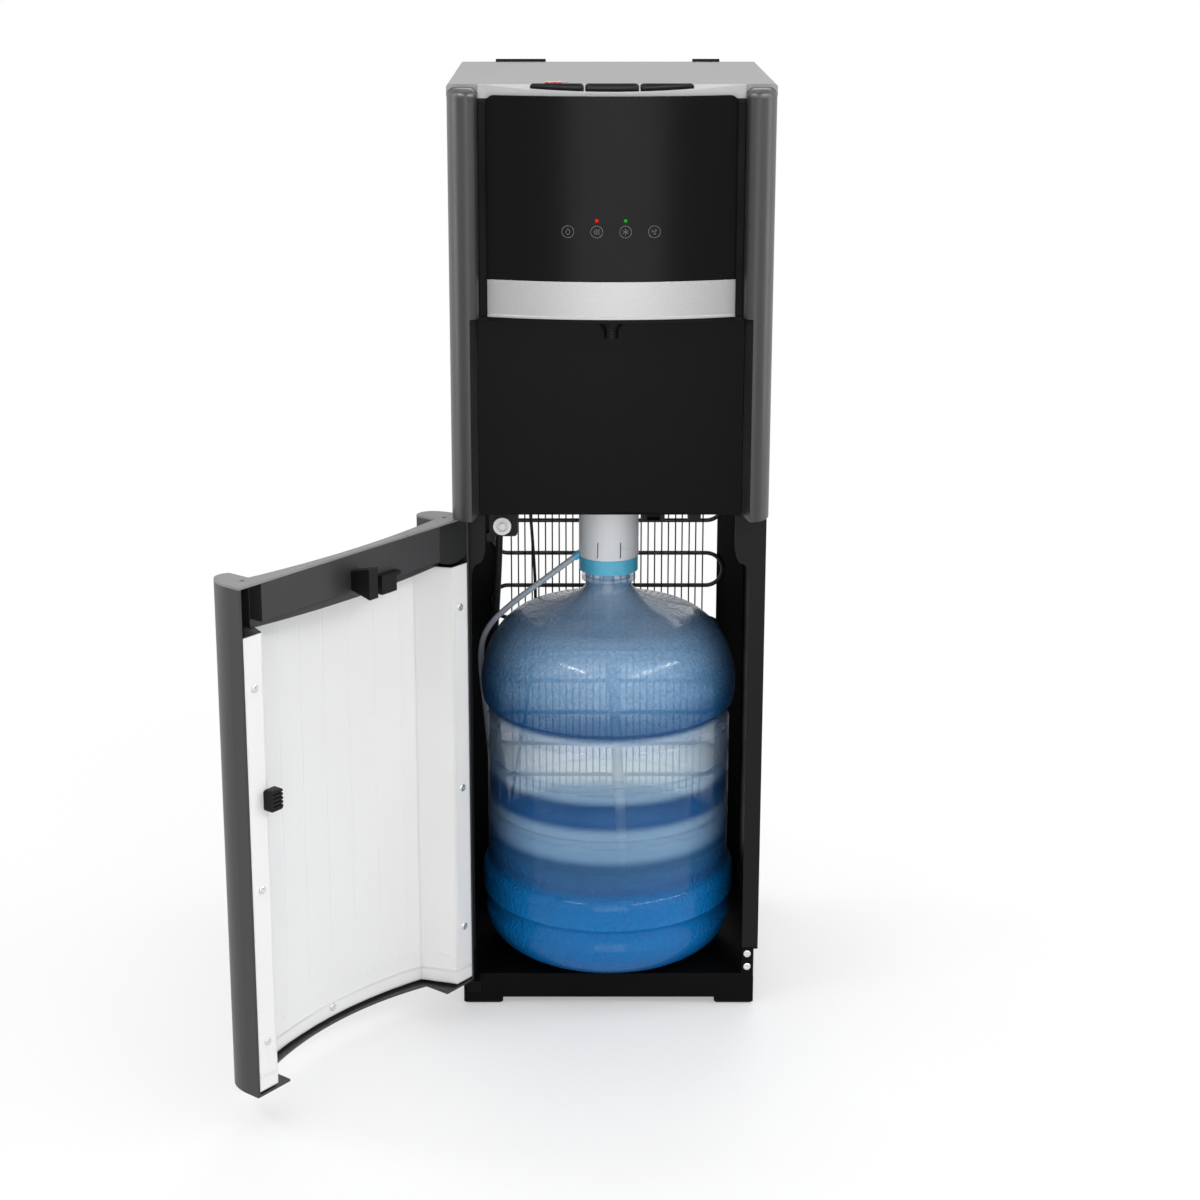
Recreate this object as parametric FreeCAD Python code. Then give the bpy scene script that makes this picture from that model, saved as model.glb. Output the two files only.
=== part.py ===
"""Bottom load water cooler with its bottle in and its door open. Millimetres, +Z up, front faces -Y.

The origin is the middle of the base pad on the floor, under the centre of the cabinet.
Every door piece is drawn with the door shut and turned about the hinge pin at the end.
"""
import FreeCAD, Part
import math
import os

# ---------------------------------------------------------------- driving sizes
# bottle, its water and the probe: heights are above the bottle's foot
BOTTLE_RADIUS = 138.0
BOTTLE_GROOVE = 6.0      # waist inside the widest rings
BOTTLE_WALL = 2.0
BOTTLE_FOOT_INSET = 42.0 # flat foot inside the widest rings
BOTTLE_NECK_RADIUS = 25.0
BOTTLE_NECK_TOP = 432.0
NECK_RING_DROP = 19.0    # below the neck's top
NECK_RING_RADIUS = 29.0
NECK_RING_THICK = 5.0
# levels of the bottle's creases, rings and shoulder, as shares of the height of its neck's top
CREASE_LEVELS = (0.088, 0.123, 0.148)
LOW_RING_LEVELS = (0.194, 0.213, 0.222)
GROOVE_LEVELS = (0.366, 0.505)
GROOVE_SHARE = 0.0116    # half a groove's height
WAIST_LEVELS = (0.597, 0.625, 0.653)
DOME_LEVELS = (0.671, 0.694, 0.838, 0.868)
NECK_LEVELS = (0.903, 0.942)
CREASE_DEPTH = 7.0
GROOVE_DEPTH = 2.0
DOME_INSET = 46.0
FOOT_HOLLOW = 9.0
WATER_HEIGHT = 182.0
COLLAR_HEIGHT = 16.0
COLLAR_DROP = 8.0        # collar's lower edge below the neck's top
COLLAR_RADIUS = 31.5
CAP_RADIUS = 32.0
CAP_HEIGHT = 61.0
CAP_WALL = 2.5
PROBE_RADIUS = 6.0
PROBE_LEAN = 23.0
PROBE_FOOT_X = 20.0
PROBE_FOOT_HEIGHT = 30.0

# cabinet
BOTTLE_SIDE_ROOM = 5.0   # from the bottle to the front flanges
BOTTLE_FRONT_ROOM = 17.0 # from the bottle to the column fronts
BOTTLE_BACK_ROOM = 27.0
CEILING_ROOM = 10.0      # over the cap
SHEET = 1.5              # steel sheet
SHELL = 2.5              # moulded plastic
GAP = 0.3                # clearance between neighbours that do not move
FLANGE_SETBACK = 50.0    # front flange plane behind the column fronts
FLANGE_WIDTH = 17.0
FLANGE_TOP_WIDTH = 32.0
FLANGE_CURVE_DROP = 75.0 # start of the flange's curve below the door's top
FLANGE_CURVE_RISE = 40.0
REAR_FLANGE_WIDTH = 34.0
TOP_COVER_RISE = 12.0
TOP_EDGE_BEVEL = 3.0

# base
FLOOR_Z = 34.0           # floor of the well
BASE_RIM_Z = 67.0        # where the side panels start
BASE_STEP = 4.0          # base side walls inside the side panels
BASE_CORNER = 3.0
BASE_ARCH = 8.0          # clear height between the feet
BASE_POST = 13.0
FOOT_LENGTH = 42.0
FOOT_DEPTH = 30.0
FOOT_BEVEL = 3.0
PAD_RADIUS = 40.0
SEAT_RING_MARGIN = 8.0   # beyond the bottle's flat foot
SEAT_RING_WIDTH = 16.0
SEAT_RING_HEIGHT = 2.0
LIP_HEIGHT = 1.5
LIP_WIDTH = 5.0

# columns
COLUMN_WIDTH = 30.0
COLUMN_NOSE = 19.0       # front-most line, in from the outer side
COLUMN_SIDE = 32.0       # depth of the outer curve
COLUMN_INNER_CURVE = 11.0
COLUMN_TOP_DROP = 3.0
COLUMN_TOP_RADIUS = 8.0
FLANK_FRONT = 21.0       # column width beside the alcove, at the front
FLANK_BACK = 27.0        # and at the back
FLANK_DEPTH = 33.0

# head: panel, band, buttons
PANEL_INSET = 38.0       # panel edge in from the cabinet's side
PANEL_SIDE_SETBACK = 20.0
PANEL_BULGE = 18.0
PANEL_THICK = 3.0
PANEL_HEIGHT = 179.0
PANEL_TOP_DROP = 10.0
PANEL_CORNER = 8.0
BAND_HEIGHT = 37.0
BAND_LIP = 1.2
BAND_LIP_HEIGHT = 2.5
HEAD_BACK = 36.0
HEAD_POCKET_WALL = 6.0
DECK_HEIGHT = 18.0
DECK_BACK = 25.0         # seam to the top cover, behind the column fronts
DECK_DROP = 8.0
BUTTON_LENGTH = 50.8
BUTTON_PITCH = 53.0
BUTTON_FRONT = 6.0       # button front edge, behind the panel face
BUTTON_BACK = 23.0
BUTTON_PLAY = 0.4
BUTTON_PROUD = 1.2
BUTTON_TRAVEL = 2.5
BUTTON_TOP_HOLLOW = 0.8
LED_RADIUS = 1.5
LED_HEIGHT = 60.0        # above the panel's lower edge
LED_X = (-14.6, 13.4)
LOCK_LENGTH = 15.0
LOCK_WIDTH = 9.0
LOCK_HEIGHT = 2.2
LOCK_X = -56.5
LOCK_SETBACK = 7.0       # behind the seam
LOCK_TRAVEL = 6.0

# alcove
ALCOVE_HEIGHT = 205.0    # column ends to the band
ALCOVE_OVERLAP = 2.0     # alcove wall below the column ends
ALCOVE_SIDE_SETBACK = 33.0
ALCOVE_HOLLOW = 12.0
HOUSING_THICK = 4.0
SPOUT_Y_SETBACK = 24.0
CUP_RADIUS = 15.0
CUP_HEIGHT = 8.0
NOZZLE_RADIUS = 7.0
NOZZLE_LENGTH = 10.0
NOZZLE_BORE = 4.0
NOZZLE_RIB = 0.8

# inside the upper cabinet
TANK_SHELF_ROOM = 45.0   # over the compressor
COLD_RADIUS = 52.0
COLD_HEIGHT = 150.0
COLD_INSET = 94.0        # tank axes in from the nearer side and the back
COLD_BACK = 115.0
JACKET_THICK = 16.0
HOT_RADIUS = 42.0
HOT_HEIGHT = 140.0
HOT_INSET = 82.0
HOT_BACK = 100.0
COMPRESSOR_RADIUS = 56.0
COMPRESSOR_HEIGHT = 128.0
COMPRESSOR_INSET = 100.0
COMPRESSOR_BACK = 100.0
COMPRESSOR_FOOT = (70.0, 40.0, 3.0)
GROMMET_EDGE = 12.0
SHELF_SKIRT = 12.0
GROMMET_HEIGHT = 12.0
GROMMET_RADIUS = 9.0
BOARD_LENGTH = 130.0
BOARD_HEIGHT = 60.0
BOARD_RISE = 27.0        # above the panel's lower edge
BOARD_THICK = 1.6
VALVE_PITCH = 34.0
VALVE_SIZE = 22.0
VALVE_HEIGHT = 40.0
VALVE_STEM = 5.5
VALVE_STEM_RADIUS = 4.0

# back
CONDENSER_TUBE = 2.4     # radius
CONDENSER_PITCH = 38.6
CONDENSER_ROWS = 11
CONDENSER_DROP = 38.5    # top run below the ceiling
CONDENSER_STRAIGHT = 113.0
CONDENSER_SETBACK = 8.0  # tube line, in front of the back face
WIRE_RADIUS = 0.8
WIRE_PITCH = 7.8
WIRE_COUNT = 29
WIRE_OVERHANG = 18.0
LOUVRE_COUNT = 14
LOUVRE_PITCH = 16.0
LOUVRE_LENGTH = 120.0
LOUVRE_WIDTH = 5.0
LOUVRE_RISE = 48.0       # above the ceiling
SWITCH_HALF = 15.0
SWITCH_DROP = 112.0
SWITCH_PITCH = 30.0
ROCKER_WIDTH = 12.0
ROCKER_HEIGHT = 20.0
ROCKER_TILT = 8.0
ROCKER_PIN_RADIUS = 1.2
ROCKER_PIN_REACH = 1.5
ROCKER_PIN_OUT = 1.0      # pin's axis behind the cabinet's back face
SWITCH_PLATE_DEPTH = 5.0
GLAND_RADIUS = 9.0
GLAND_RISE = 30.0
SPACER_HEIGHT = 3.0
SPACER_DEPTH = 9.0
SPACERS = ((-122.0, -68.0), (91.0, 120.0))

# door, drawn shut
DOOR_ANGLE = 128.0
DOOR_BOTTOM = 35.0
DOOR_TOP_GAP = 3.0       # under the column ends
CEILING_DROP = 6.0       # shelf over the bottle, below the column ends
DOOR_BACK_SETBACK = 47.5
DOOR_EDGE_SETBACK = 6.0  # skin beside the pilasters
DOOR_BULGE = 20.0
DOOR_CAP_THICK = 2.0
SCOOP_DROP = 46.0        # floor of the scoop below the door's top
SCOOP_SIDE_SETBACK = 29.0
SCOOP_HOLLOW = 10.0
LEDGE_WIDTH = 12.0
HINGE_INSET = 5.0        # pin centre from the door's outer side
HINGE_SETBACK = 38.0
HINGE_PIN_RADIUS = 2.5
HINGE_PLAY = 0.06
HINGE_PIN_LENGTH = 18.0
HINGE_BOSS = 7.0
HINGE_BOSS_HEIGHT = 26.0
HINGE_PLATE = 1.6
HINGE_PLATE_REACH = 22.0
HINGE_TAB = 20.0
RAIL_HEIGHT = 39.0
RAIL_INSET_LEFT = 44.0
RAIL_INSET_RIGHT = 28.0
LINER_THICK = 2.0
LINER_RISE = 5.5
LINER_FLANGE = 24.0
LINER_SLOPE = 15.0
LINER_CLEARANCE = 2.5    # pan floor from the skin's inner face
HOOK_X = (1.0, 13.0)
HOOK_DROP = (43.0, 12.0)
HOOK_REACH = 24.0
HOOK_ROOT_TRIM = 6.0
BLOCK_X = (-49.0, -22.0)
BLOCK_DROP = (49.0, 30.0)
BLOCK_REACH = 8.0
CATCH_INSET = (38.0, 21.0)
CATCH_RISE = (291.0, 312.0)
CATCH_REACH = 9.0
SCREW_RADIUS = 4.0
SCREW_HEAD = 1.6
HINGE_SIDE_SCREWS = (422.0, 225.0, 68.0)  # above the door's lower edge
FREE_SIDE_SCREWS = (415.0, 213.0, 55.0)
FLANGE_SCREW_DROPS = (8.0, 23.0)  # below the base's rim
TRAY_PROUD = 4.0
TRAY_HEIGHT = 15.0
TRAY_WALL = 1.8
GRILLE_THICK = 2.0
GRILLE_PLAY = 1.5
GRILLE_POST_RADIUS = 2.5   # posts in the tray that the grille rests on
GRILLE_POST_INSET = 9.0
GRILLE_SLOTS = 17
GRILLE_SLOT_WIDTH = 5.0

# pump, hoses and lead
PUMP_INSET_X = 38.0
PUMP_INSET_Y = 44.0
PUMP_RADIUS = 17.0
PUMP_HEIGHT = 56.0
BARB_RADIUS = 3.2
HANGER_INSET = 36.0      # bracket in the front left corner of the compartment
BARB_HEIGHT = 16.0
HOSE_RADIUS = 3.2
RISER_RADIUS = 4.0
LEAD_RADIUS = 1.8
NOZZLE_REACH = 5.5       # hose nozzle beyond the collar
HOSE_WALL_ROOM = 12.0
# hose between its ends: share of the way left to the wall, back to the pump, and of its height
HOSE_SHARES = ((0.333, 0.027, 0.921), (0.658, 0.09, 0.839), (0.883, 0.241, 0.754), (0.946, 0.384, 0.653),
               (0.91, 0.563, 0.516), (0.883, 0.741, 0.38), (0.851, 0.884, 0.238), (0.838, 0.973, 0.109))
# riser and lead: offsets from the pump's axis and share of the height up to the ceiling
RISER_OFFSETS = ((5.0, 8.0, 0.0), (3.0, 10.0, 0.126), (-4.0, 14.0, 0.253), (-8.0, 17.0, 0.384),
                 (-7.0, 18.0, 0.515), (-3.0, 15.0, 0.646), (0.0, 12.0, 0.777), (1.0, 10.5, 0.894),
                 (1.0, 10.0, 1.0))
LEAD_OFFSETS = ((8.0, -6.0, 0.0), (10.0, -2.5, 0.074), (16.0, 3.0, 0.169), (25.0, 8.0, 0.281),
                (33.0, 11.0, 0.403), (39.0, 12.4, 0.528), (41.0, 13.0, 0.653), (38.0, 12.6, 0.778),
                (34.0, 11.6, 0.899), (34.0, 11.0, 1.0))

# ---------------------------------------------------------------- places worked out from them
V = FreeCAD.Vector
WIDTH = 2 * (BOTTLE_RADIUS + BOTTLE_SIDE_ROOM + FLANGE_WIDTH)
DEPTH = BOTTLE_FRONT_ROOM + 2 * BOTTLE_RADIUS + BOTTLE_BACK_ROOM
HALF = WIDTH / 2
BOTTLE_FOOT_RADIUS = BOTTLE_RADIUS - BOTTLE_FOOT_INSET
SEAT_RING_RADIUS = BOTTLE_FOOT_RADIUS + SEAT_RING_MARGIN
FRONT = -DEPTH / 2
BACK = DEPTH / 2
FLANGE_Y = FRONT + FLANGE_SETBACK
NOSE_X = HALF - COLUMN_NOSE
COLUMN_INNER = HALF - COLUMN_WIDTH
HEAD_HALF = COLUMN_INNER - GAP
PANEL_HALF = HALF - PANEL_INSET
BASE_HALF = HALF - BASE_STEP
DOOR_BACK = FRONT + DOOR_BACK_SETBACK
BOTTLE_Y = FRONT + BOTTLE_FRONT_ROOM + BOTTLE_RADIUS
HINGE_X = HINGE_INSET - HALF
HINGE_Y = FRONT + HINGE_SETBACK

BOTTLE_Z = FLOOR_Z + SEAT_RING_HEIGHT
NECK_TOP = BOTTLE_Z + BOTTLE_NECK_TOP
COLLAR_Z = NECK_TOP - COLLAR_DROP
COLLAR_TOP = COLLAR_Z + COLLAR_HEIGHT
CAP_TOP = COLLAR_TOP + GAP + CAP_HEIGHT
CEILING_Z = CAP_TOP + CEILING_ROOM
SHELF_TOP = CEILING_Z + SHEET
COLUMN_BOTTOM = CEILING_Z + CEILING_DROP
BAND_BOTTOM = COLUMN_BOTTOM + ALCOVE_HEIGHT
PANEL_BOTTOM = BAND_BOTTOM + BAND_HEIGHT
PANEL_TOP = PANEL_BOTTOM + PANEL_HEIGHT
HEIGHT = PANEL_TOP + PANEL_TOP_DROP
COLUMN_TOP = HEIGHT - COLUMN_TOP_DROP
TOP_UNDER = HEIGHT - TOP_COVER_RISE
DECK_BOTTOM = HEIGHT - DECK_HEIGHT
ALCOVE_BOTTOM = COLUMN_BOTTOM - ALCOVE_OVERLAP
LED_Z = PANEL_BOTTOM + LED_HEIGHT
TANK_SHELF_Z = SHELF_TOP + GROMMET_HEIGHT + COMPRESSOR_HEIGHT + TANK_SHELF_ROOM
BOARD_Z = PANEL_BOTTOM + BOARD_RISE
CONDENSER_TOP = CEILING_Z - CONDENSER_DROP
LOUVRE_BOTTOM = CEILING_Z + LOUVRE_RISE
SWITCH_Z = HEIGHT - SWITCH_DROP
GLAND_X = REAR_FLANGE_WIDTH + 1.5 * GLAND_RADIUS - HALF
GLAND_Z = CEILING_Z + GLAND_RISE
DOOR_TOP = COLUMN_BOTTOM - DOOR_TOP_GAP
SCOOP_Z = DOOR_TOP - SCOOP_DROP
RAIL_BOTTOM = DOOR_TOP - RAIL_HEIGHT
RAIL_LEFT = RAIL_INSET_LEFT - HALF
RAIL_RIGHT = HALF - RAIL_INSET_RIGHT
LINER_BOTTOM = DOOR_BOTTOM + LINER_RISE
FLANGE_CURVE_LOW = DOOR_TOP - FLANGE_CURVE_DROP
PUMP_X = PUMP_INSET_X - HALF
PUMP_Y = BACK - PUMP_INSET_Y
PUMP_TOP = FLOOR_Z + PUMP_HEIGHT
COLD_X = COLD_INSET - HALF
COLD_Y = BACK - COLD_BACK
HOT_X = HALF - HOT_INSET
HOT_Y = BACK - HOT_BACK
COMPRESSOR_X = HALF - COMPRESSOR_INSET
COMPRESSOR_Y = BACK - COMPRESSOR_BACK
SWITCH_X = HALF - REAR_FLANGE_WIDTH - SWITCH_HALF - 1
LIFT = V(0, 0, 1)

parts = {}


# ---------------------------------------------------------------- small tools
def box(x0, x1, y0, y1, z0, z1):
    return Part.makeBox(x1 - x0, y1 - y0, z1 - z0, V(x0, y0, z0))


def rod(x, y, z0, z1, radius):
    return Part.makeCylinder(radius, z1 - z0, V(x, y, z0))


def line(p, q):
    return Part.LineSegment(V(*p, 0), V(*q, 0)).toShape()


def arc(p, middle, q):
    return Part.Arc(V(*p, 0), V(*middle, 0), V(*q, 0)).toShape()


def quarter(p, corner, q):
    """A round corner from p to q that leaves and arrives along the sides of the corner."""
    pull = 0.5523
    curve = Part.BezierCurve()
    near = (p[0] + pull * (corner[0] - p[0]), p[1] + pull * (corner[1] - p[1]))
    far = (q[0] + pull * (corner[0] - q[0]), q[1] + pull * (corner[1] - q[1]))
    curve.setPoles([V(*p, 0), V(*near, 0), V(*far, 0), V(*q, 0)])
    return curve.toShape()


def prism(edges, z0, z1):
    """Edges in plan, in order round a closed outline, raised from z0 to z1."""
    face = Part.Face(Part.Wire(edges))
    face.translate(V(0, 0, z0))
    return face.extrude(V(0, 0, z1 - z0))


def polygon(points):
    return [line(p, q) for p, q in zip(points, points[1:] + points[:1])]


def wall_from_front(edges, y0, y1):
    """Edges drawn as (x, z), looking from the front, made into a plate from y0 back to y1."""
    face = Part.Face(Part.Wire(edges))
    face.rotate(V(0, 0, 0), V(1, 0, 0), 90)
    face.translate(V(0, y1, 0))
    return face.extrude(V(0, y0 - y1, 0))


def mirrored(shape):
    return shape.mirror(V(0, 0, 0), V(1, 0, 0))


def turned(edges, x, y):
    """Edges drawn as (radius, z), turned about the upright line through x, y."""
    face = Part.Face(Part.Wire(edges))
    face.rotate(V(0, 0, 0), V(1, 0, 0), 90)
    solid = face.revolve(V(0, 0, 0), V(0, 0, 1), 360)
    solid.translate(V(x, y, 0))
    return solid


def joined(*shapes):
    whole = shapes[0]
    for shape in shapes[1:]:
        whole = whole.fuse(shape)
    return whole.removeSplitter()


def bowed(half, side_y, bulge):
    """A shallow arc in plan from left to right, its middle further front by bulge."""
    return arc((-half, side_y), (0, side_y - bulge), (half, side_y))


def bow_y(x, half, side_y, bulge):
    """Where such an arc is at x."""
    radius = (half ** 2 + bulge ** 2) / (2 * abs(bulge))
    sink = radius - math.sqrt(radius ** 2 - x ** 2)
    return side_y - bulge + math.copysign(sink, bulge)


def tube(name, points, radius):
    """A round tube along straight runs joined by tangent arcs. Prints its tightest bend and its length."""
    corners = points
    edges = []
    radii = []
    here = corners[0]
    for before, corner, after in zip(corners, corners[1:], corners[2:]):
        back = before - corner
        on = after - corner
        turn = math.pi - back.getAngle(on)
        reach = 0.45 * min(back.Length, on.Length)
        bend = reach / math.tan(turn / 2)
        back.normalize()
        on.normalize()
        first = corner + back * reach
        last = corner + on * reach
        inward = back + on
        inward.normalize()
        middle = corner + inward * (bend / math.cos(turn / 2) - bend)
        edges.append(Part.LineSegment(here, first).toShape())
        edges.append(Part.Arc(first, middle, last).toShape())
        radii.append(bend)
        here = last
    edges.append(Part.LineSegment(here, corners[-1]).toShape())
    path = Part.Wire(edges)
    start = corners[1] - corners[0]
    ring = Part.Wire(Part.makeCircle(radius, corners[0], start))
    solid = path.makePipeShell([ring], True, False)
    share = solid.Volume / (math.pi * radius ** 2 * path.Length)
    print(f"{name}: length {path.Length:.0f}, tightest bend {min(radii):.0f}, volume share {share:.4f}")
    return solid


def shut_door_turned(shape):
    """From the shut door to where the open door stands."""
    opened = shape.copy()
    opened.rotate(V(HINGE_X, HINGE_Y, 0), LIFT, -DOOR_ANGLE)
    return opened


# ---------------------------------------------------------------- cabinet sheet and base
def base_outline(corner):
    """Plan of the base with its two round front corners."""
    side = BASE_HALF
    front = FLANGE_Y
    back = BACK - BASE_STEP
    return [
        line((-side, back), (-side, front + corner)),
        quarter((-side, front + corner), (-side, front), (-side + corner, front)),
        line((-side + corner, front), (side - corner, front)),
        quarter((side - corner, front), (side, front), (side, front + corner)),
        line((side, front + corner), (side, back)),
        line((side, back), (-side, back)),
    ]


def base_foot(x, y):
    """One foot block with bevelled lower edges, its low corner at x, y."""
    foot = box(x, x + FOOT_LENGTH, y, y + FOOT_DEPTH, 0, FLOOR_Z - SHELL)
    lower = [e for e in foot.Edges if e.BoundBox.ZMax < 1]
    return foot.makeChamfer(FOOT_BEVEL, lower)


def base_tray():
    """Black moulded base: a well for the bottle, feet, and a rim that carries the side panels."""
    inner = BASE_HALF - SHELL
    back = BACK - BASE_STEP
    tray = prism(base_outline(BASE_CORNER), BASE_ARCH, BASE_RIM_Z)
    rim = box(-HALF, HALF, FLANGE_Y, BACK, BASE_RIM_Z - SHELL, BASE_RIM_Z)
    tray = tray.fuse(rim)
    opening = HALF - FLANGE_WIDTH
    tray = tray.cut(box(-inner, inner, FLANGE_Y + BASE_POST, back - SHELL, FLOOR_Z, BASE_RIM_Z + 1))
    tray = tray.cut(box(-opening, opening, FLANGE_Y - 1, back - SHELL, FLOOR_Z, BASE_RIM_Z + 1))
    tray = tray.cut(box(-inner, inner, FLANGE_Y + SHELL, back - SHELL, BASE_ARCH - 1, FLOOR_Z - SHELL))
    lip = box(-opening, opening, FLANGE_Y, FLANGE_Y + LIP_WIDTH, FLOOR_Z, FLOOR_Z + LIP_HEIGHT)
    ring = rod(0, BOTTLE_Y, FLOOR_Z, BOTTLE_Z, SEAT_RING_RADIUS)
    ring = ring.cut(rod(0, BOTTLE_Y, FLOOR_Z - 1, BOTTLE_Z + 1, SEAT_RING_RADIUS - SEAT_RING_WIDTH))
    pad = rod(0, 0, 0, FLOOR_Z - SHELL, PAD_RADIUS)
    pad = pad.cut(rod(0, 0, SHELL, FLOOR_Z, PAD_RADIUS - SHELL))
    left = -BASE_HALF
    right = BASE_HALF - FOOT_LENGTH
    feet = [base_foot(x, y) for x in (left, right) for y in (FLANGE_Y, back - FOOT_DEPTH)]
    return joined(tray, lip, ring, pad, *feet)


def side_panel():
    """The left side: wall, front flange with its S-shaped inner edge, rear flange."""
    wall = box(-HALF, -HALF + SHEET, FLANGE_Y, BACK, BASE_RIM_Z, TOP_UNDER)
    narrow = -HALF + FLANGE_WIDTH
    wide = -HALF + FLANGE_TOP_WIDTH
    low = FLANGE_CURVE_LOW
    high = FLANGE_CURVE_LOW + FLANGE_CURVE_RISE
    middle = ((narrow + wide) / 2, (low + high) / 2)
    edges = [
        line((-HALF, TOP_UNDER), (-HALF, BASE_RIM_Z)),
        line((-HALF, BASE_RIM_Z), (narrow, BASE_RIM_Z)),
        line((narrow, BASE_RIM_Z), (narrow, low)),
        quarter((narrow, low), (narrow, middle[1]), middle),
        quarter(middle, (wide, middle[1]), (wide, high)),
        line((wide, high), (wide, TOP_UNDER)),
        line((wide, TOP_UNDER), (-HALF, TOP_UNDER)),
    ]
    front = wall_from_front(edges, FLANGE_Y, FLANGE_Y + SHEET)
    rear = box(-HALF, -HALF + REAR_FLANGE_WIDTH, BACK - SHEET, BACK, BASE_RIM_Z, TOP_UNDER)
    return joined(wall, front, rear)


def inner_walls():
    x = HALF - SHEET - GAP
    left = box(-x, -x + SHEET, FLANGE_Y + SHEET + GAP, BACK - SHEET - GAP, BASE_RIM_Z, CEILING_Z - GAP)
    return Part.makeCompound([left, mirrored(left)])


def shelf_plate():
    x = HALF - SHEET - GAP
    return box(-x, x, FLANGE_Y + SHEET + GAP, BACK - SHEET - GAP, CEILING_Z, SHELF_TOP)


def rear_panel():
    y1 = BACK - SHEET - GAP
    x = HALF - SHEET - GAP
    sheet = box(-x, x, y1 - SHEET, y1, SHELF_TOP + GAP, TOP_UNDER - GAP)
    for row in range(LOUVRE_COUNT):
        z = LOUVRE_BOTTOM + row * LOUVRE_PITCH
        half = LOUVRE_LENGTH / 2
        sheet = sheet.cut(box(-half, half, y1 - SHEET - 1, y1 + 1, z, z + LOUVRE_WIDTH))
    return sheet


def rear_spacers():
    """Two low bars along the back edge of the top."""
    y0 = BACK - SPACER_DEPTH
    return [box(x0, x1, y0, BACK, HEIGHT - SHELL, HEIGHT + SPACER_HEIGHT) for x0, x1 in SPACERS]


def top_cover():
    y0 = FRONT + DECK_BACK + GAP
    outer = box(-HALF, HALF, y0, BACK, TOP_UNDER + GAP, HEIGHT)
    long_edges = [e for e in outer.Edges if e.BoundBox.ZMin > HEIGHT - 1 and e.BoundBox.YLength > 1]
    outer = outer.makeFillet(TOP_EDGE_BEVEL, long_edges)
    inner = box(-HALF + SHELL, HALF - SHELL, y0 + SHELL, BACK - SHELL, TOP_UNDER - 1, HEIGHT - SHELL)
    cover = joined(outer.cut(inner), *rear_spacers())
    slot = box(LOCK_X - LOCK_LENGTH / 2 - 1, LOCK_X + LOCK_LENGTH / 2 + LOCK_TRAVEL + 1,
               y0 + LOCK_SETBACK - 1, y0 + LOCK_SETBACK + LOCK_WIDTH + 1, HEIGHT - 1, HEIGHT + 1)
    return cover.cut(slot)


# ---------------------------------------------------------------- columns
def column_outline(inset, back_y):
    """Plan of the left column: outer side, rounded nose, inner side. Inset makes the hollow inside it."""
    outer = inset - HALF
    front = FRONT + inset
    curve_y = FRONT + COLUMN_SIDE
    inner = -COLUMN_INNER - inset
    inner_y = FRONT + COLUMN_INNER_CURVE + inset
    return [
        line((outer, back_y), (outer, curve_y)),
        quarter((outer, curve_y), (outer, front), (-NOSE_X, front)),
        quarter((-NOSE_X, front), (inner, front), (inner, inner_y)),
        line((inner, inner_y), (inner, back_y)),
        line((inner, back_y), (outer, back_y)),
    ]


def column_notch(grow):
    """What the alcove takes off the column: a flank that splays outwards towards the front."""
    front_x = FLANK_FRONT - HALF - grow
    back_x = FLANK_BACK - HALF - grow
    plan = [(front_x, FRONT - 1), (back_x, FRONT + FLANK_DEPTH), (back_x, FLANGE_Y + 2), (0, FLANGE_Y + 2),
            (0, FRONT - 1)]
    return prism(polygon(plan), COLUMN_BOTTOM - 1, BAND_BOTTOM + grow)


def column():
    """Left front column: one hollow moulding, open at the back, its inner side cut back beside the alcove."""
    back = FLANGE_Y - GAP
    body = prism(column_outline(0, back), COLUMN_BOTTOM, COLUMN_TOP)
    round_edges = [e for e in body.Edges if e.BoundBox.ZMin > COLUMN_TOP - 1 and e.BoundBox.XMin < -NOSE_X - 1
                   and e.BoundBox.YMax < back - 1]
    body = body.makeFillet(COLUMN_TOP_RADIUS, round_edges)
    hollow = prism(column_outline(SHELL, back + 1), COLUMN_BOTTOM + SHELL, COLUMN_TOP - SHELL)
    top_step = box(-HALF - 1, 0, FRONT + DECK_BACK, back + 1, TOP_UNDER, HEIGHT)
    inside_step = box(-HALF - 1, 0, FRONT + DECK_BACK - SHELL, back + 2, TOP_UNDER - SHELL, HEIGHT)
    return body.cut(column_notch(0)).cut(hollow.cut(column_notch(SHELL)).cut(inside_step)).cut(top_step)


# ---------------------------------------------------------------- head
def panel_arc(back_by):
    return bowed(PANEL_HALF, FRONT + PANEL_SIDE_SETBACK + back_by, PANEL_BULGE)


def panel_sheet(front_by, back_by, z0, z1):
    side = FRONT + PANEL_SIDE_SETBACK
    edges = [
        panel_arc(front_by),
        line((PANEL_HALF, side + front_by), (PANEL_HALF, side + back_by)),
        panel_arc(back_by),
        line((-PANEL_HALF, side + back_by), (-PANEL_HALF, side + front_by)),
    ]
    return prism(Part.__sortEdges__(edges), z0, z1)


def control_panel():
    sheet = panel_sheet(0, PANEL_THICK, PANEL_BOTTOM + GAP, PANEL_TOP)
    high = PANEL_TOP
    low = high - PANEL_CORNER
    shoulder = PANEL_HALF - PANEL_CORNER
    outline = [
        line((-PANEL_HALF, PANEL_BOTTOM), (PANEL_HALF, PANEL_BOTTOM)),
        line((PANEL_HALF, PANEL_BOTTOM), (PANEL_HALF, low)),
        quarter((PANEL_HALF, low), (PANEL_HALF, high), (shoulder, high)),
        line((shoulder, high), (-shoulder, high)),
        quarter((-shoulder, high), (-PANEL_HALF, high), (-PANEL_HALF, low)),
        line((-PANEL_HALF, low), (-PANEL_HALF, PANEL_BOTTOM)),
    ]
    sheet = sheet.common(wall_from_front(outline, FRONT - PANEL_BULGE, FLANGE_Y))
    for x in LED_X:
        sheet = sheet.cut(led(x, LED_RADIUS + 0.1, -PANEL_THICK, 2 * PANEL_THICK))
    return sheet


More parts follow.
